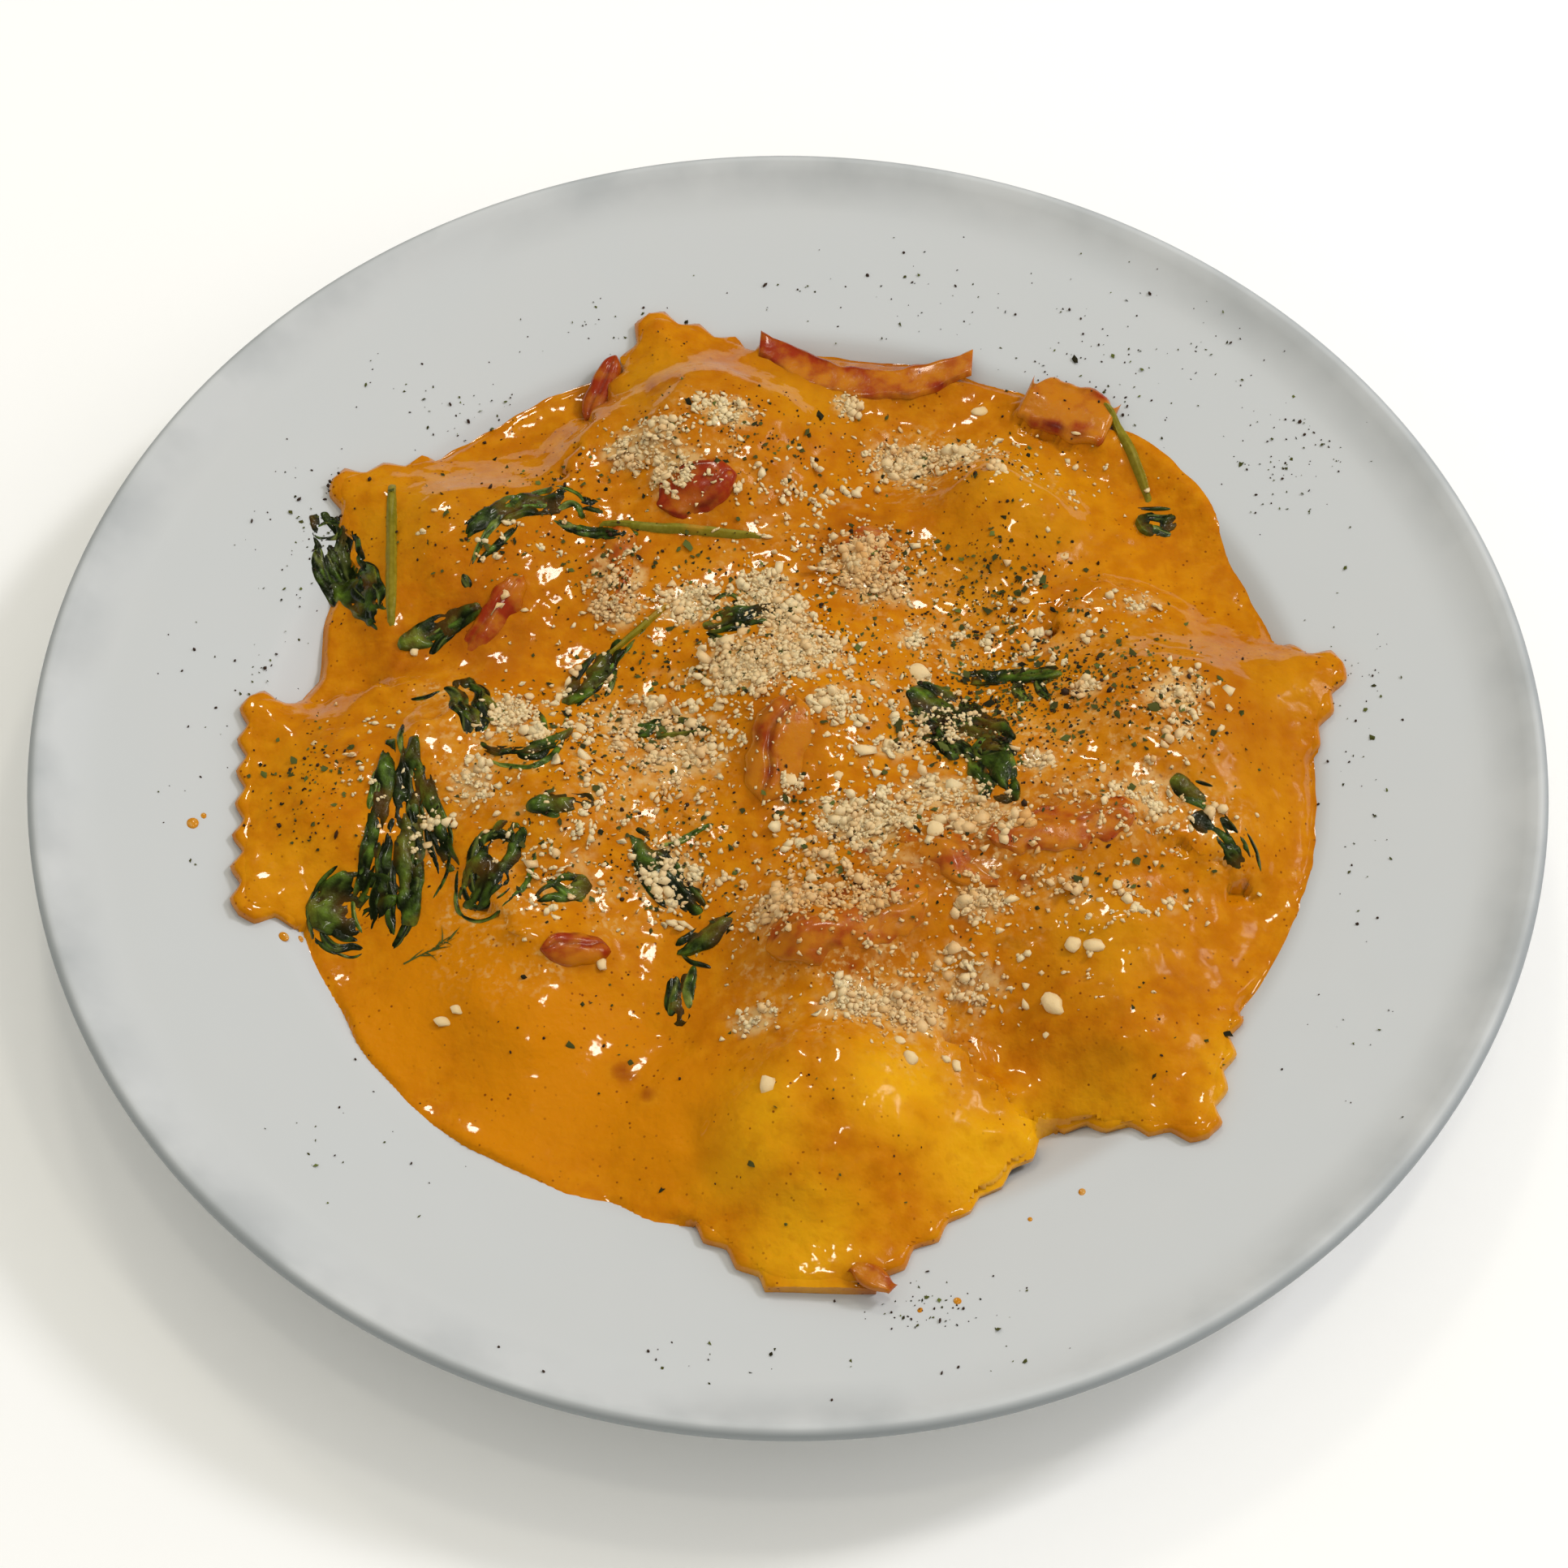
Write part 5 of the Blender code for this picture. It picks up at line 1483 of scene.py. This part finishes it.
def make_specks(finish):
    """Ground pepper: angular specks among the herbs."""
    here, sizes = serving(), bpy.context.scene.dish_toppings
    rng = np.random.default_rng(92)
    spot = np.vstack([clusters(HERBS, rng), clusters(RIM_HERBS, rng)])
    spot = spot[np.hypot(*spot.T) < 148]
    size = in_mm(sizes.speck) / 2 * np.exp(rng.normal(0, 0.4, len(spot)))
    places = np.column_stack([spot, here.height(*spot.T) + 0.3 * size])
    scale = size[:, None] * rng.uniform(0.6, 1.3, (len(spot), 3))
    shapes = crumb_shapes(rng, 1, 5, 0.2)
    points, faces, _ = strewn(shapes, places, scale, random_turns(rng, len(spot), 1.2), rng)
    mesh_piece("ground_pepper", points, faces, finish, None)


def make_sprig(finish):
    """A small feathery sprig: a stalk with side threads."""
    here = serving()
    rng = np.random.default_rng(93)
    threads = [(0.0, 0.0, 25.0, 11.0)]
    threads += [(rng.uniform(1, 10), 0.0, 25.0 + rng.choice((-1, 1)) * rng.uniform(18, 60), rng.uniform(1.2, 4.0)) for _ in range(13)]
    points, faces = [], []
    base = math.radians(25)
    for along, _, turn, long in threads:
        start = np.array(SPRIG, float) + along * np.array([math.cos(base), math.sin(base)])
        way = math.radians(turn)
        shares = np.linspace(0, 1, 9)
        bend = 0.8 * rng.normal() * shares**2
        x = start[0] + long * (shares * math.cos(way)) - bend * math.sin(way)
        y = start[1] + long * (shares * math.sin(way)) + bend * math.cos(way)
        radius = 0.22 * (1.1 - shares)
        z = here.height(x, y) + 0.15
        ring = np.array([(0, 1), (-0.87, -0.5), (0.87, -0.5)])
        aside = np.array([-math.sin(way), math.cos(way)])
        first = sum(len(part) for part in points)
        tube = np.stack([x[:, None] + radius[:, None] * ring[:, 0] * aside[0], y[:, None] + radius[:, None] * ring[:, 0] * aside[1], z[:, None] + radius[:, None] * ring[:, 1]], -1)
        points.append(tube.reshape(-1, 3))
        index = first + np.arange(27).reshape(9, 3)
        after = np.roll(index, -1, axis=1)
        faces.append(np.stack([index[:-1], index[1:], after[1:], after[:-1]], -1).reshape(-1, 4))
    points = np.concatenate(points)
    tint = np.tile((0.8, 0.1, 0.0), (len(points), 1))
    mesh_piece("herb_sprig", points, np.concatenate(faces), finish, tint)


# Operators


class DISH_OT_plate(bpy.types.Operator):
    """Make the plate as a smooth turned body"""

    bl_idname = "dish.plate"
    bl_label = "Plate"

    def execute(self, context):
        points, faces = turned(plate_profile(), context.scene.dish_plate.sides)
        mesh_piece("plate_body", points, faces, glazed_porcelain(), None, ("plate",))
        return {"FINISHED"}


class DISH_OT_ravioli(bpy.types.Operator):
    """Make every raviolo over its own solid"""

    bl_idname = "dish.ravioli"
    bl_label = "Ravioli"

    def execute(self, context):
        finish = wet_sauce("egg pasta, boiled and sauced", 0.30)
        for name in RAVIOLI:
            make_raviolo(name, finish)
        return {"FINISHED"}


class DISH_OT_peppers(bpy.types.Operator):
    """Make the pieces of roasted pepper"""

    bl_idname = "dish.peppers"
    bl_label = "Roasted pepper"

    def execute(self, context):
        finish = roasted_pepper()
        for name in PEPPERS:
            make_pepper(name, finish)
        return {"FINISHED"}


class DISH_OT_spinach(bpy.types.Operator):
    """Make the wilted leaves and the stems"""

    bl_idname = "dish.spinach"
    bl_label = "Spinach"

    def execute(self, context):
        leaf, stalk = wilted_leaf(), cooked_stem()
        here = serving()
        here.bed = here.grid.blur(here.top, 1.0)
        for name in LEAVES:
            make_leaf(name, leaf)
        for name in STEMS:
            make_stem(name, stalk)
        return {"FINISHED"}


class DISH_OT_sauce(bpy.types.Operator):
    """Pour the sauce over the pasta and round it"""

    bl_idname = "dish.sauce"
    bl_label = "Sauce"

    def execute(self, context):
        finish = wet_sauce("cream sauce, poured", 0.26)
        make_sauce(finish)
        make_drips(finish)
        return {"FINISHED"}


class DISH_OT_cheese(bpy.types.Operator):
    """Strew the grated cheese"""

    bl_idname = "dish.cheese"
    bl_label = "Cheese"

    def execute(self, context):
        finish = grated_cheese()
        make_cheese(finish)
        make_grains(finish)
        return {"FINISHED"}


class DISH_OT_herbs(bpy.types.Operator):
    """Strew the herb flakes and the ground pepper"""

    bl_idname = "dish.herbs"
    bl_label = "Herbs and pepper"

    def execute(self, context):
        finish = dried_herb()
        make_herbs(finish)
        make_sprig(finish)
        make_specks(cracked_pepper())
        return {"FINISHED"}


def area_light(name, towards, width, brightness, tone, glossy):
    """A square light this many degrees wide, 3 m away. Brightness is what white paper facing it shows."""
    reach = 3.0
    lamp = bpy.data.lights.new(name, "AREA")
    lamp.shape, lamp.size = "SQUARE", 2 * reach * math.tan(math.radians(width / 2))
    lamp.energy = brightness * (math.pi * reach) ** 2
    lamp.color = tone
    made = bpy.data.objects.new(name, lamp)
    made.visible_glossy = glossy
    made.location = reach * Vector(towards).normalized()
    made.rotation_euler = (-made.location).to_track_quat("-Z", "Y").to_euler()
    bpy.context.scene.collection.objects.link(made)


class DISH_OT_stage(bpy.types.Operator):
    """Set the pale floor, the soft lights and the camera"""

    bl_idname = "dish.stage"
    bl_label = "Stage"

    def execute(self, context):
        settings = context.scene.dish_stage
        floor_mesh = bpy.data.meshes.new("floor")
        reach = 6.0
        corners = [(-reach, -reach, 0), (reach, -reach, 0), (reach, reach, 0), (-reach, reach, 0)]
        floor_mesh.from_pydata(corners, [], [(0, 1, 2, 3)])
        floor_mesh.materials.append(painted_board())
        floor = bpy.data.objects.new("floor", floor_mesh)
        context.scene.collection.objects.link(floor)

        world = bpy.data.worlds.new("even sky")
        world.use_nodes = True
        world.node_tree.nodes["Background"].inputs["Color"].default_value = (1.0, 0.985, 0.91, 1.0)
        world.node_tree.nodes["Background"].inputs["Strength"].default_value = settings.fill
        context.scene.world = world
        world.cycles_visibility.glossy = False
        cool, warm = (1.0, 1.03, 1.22), (1.0, 0.95, 0.82)
        area_light("softbox", (0.66, 0.34, 0.66), 10, 0.52 * settings.key, cool, False)
        area_light("side bank", (0.90, 0.10, 0.42), 45, 0.34 * settings.key, cool, False)
        area_light("lamp 1", (0.66, 0.34, 0.66), 8.0, 0.40 * settings.key, warm, True)
        area_light("lamp 2", (-0.10, 0.62, 0.78), 5.5, 0.18 * settings.key, warm, True)
        area_light("lamp 3", (0.30, 0.28, 0.91), 5.5, 0.18 * settings.key, warm, True)
        area_light("lamp 4", (0.04, -0.06, 1.0), 4.8, 0.12 * settings.key, warm, True)

        lens = bpy.data.cameras.new("camera")
        lens.lens, lens.sensor_width = settings.focal, 36.0
        lens.clip_start, lens.clip_end = 0.01, 20.0
        camera = bpy.data.objects.new("camera", lens)
        up, turn = settings.elevation, settings.roll
        back = Vector((0, -math.cos(up), math.sin(up)))
        level, rise = Vector((1, 0, 0)), Vector((0, math.sin(up), math.cos(up)))
        right = math.cos(turn) * level + math.sin(turn) * rise
        above = back.cross(right)
        camera.matrix_world = Matrix((right, above, back)).transposed().to_4x4()
        camera.location = Vector((-0.82, -11.09, 29.0)) * MM + settings.distance * back
        context.scene.collection.objects.link(camera)
        context.scene.camera = camera
        context.scene.view_settings.view_transform = "Standard"
        return {"FINISHED"}


OPERATORS = (
    DISH_OT_plate,
    DISH_OT_ravioli,
    DISH_OT_peppers,
    DISH_OT_sauce,
    DISH_OT_spinach,
    DISH_OT_cheese,
    DISH_OT_herbs,
    DISH_OT_stage,
)


class DISH_PT_sidebar(bpy.types.Panel):
    """Sizes, colours and makers of the plated ravioli"""

    bl_label = "Plated Ravioli"
    bl_idname = "DISH_PT_sidebar"
    bl_space_type = "VIEW_3D"
    bl_region_type = "UI"
    bl_category = "Ravioli"

    def draw(self, context):
        layout = self.layout
        for operator in OPERATORS:
            layout.operator(operator.bl_idname)
        for name, group in GROUPS.items():
            box = layout.box()
            for field in group.__annotations__:
                box.prop(getattr(context.scene, name), field)


def register():
    for group in GROUPS.values():
        bpy.utils.register_class(group)
    for name, group in GROUPS.items():
        setattr(bpy.types.Scene, name, PointerProperty(type=group))
    for made in OPERATORS + (DISH_PT_sidebar,):
        bpy.utils.register_class(made)


def unregister():
    for made in reversed(OPERATORS + (DISH_PT_sidebar,)):
        bpy.utils.unregister_class(made)
    for name in GROUPS:
        delattr(bpy.types.Scene, name)
    for group in reversed(list(GROUPS.values())):
        bpy.utils.unregister_class(group)


def main():
    register()
    for operator in OPERATORS:
        group, name = operator.bl_idname.split(".")
        getattr(getattr(bpy.ops, group), name)()


if __name__ == "__main__":
    main()
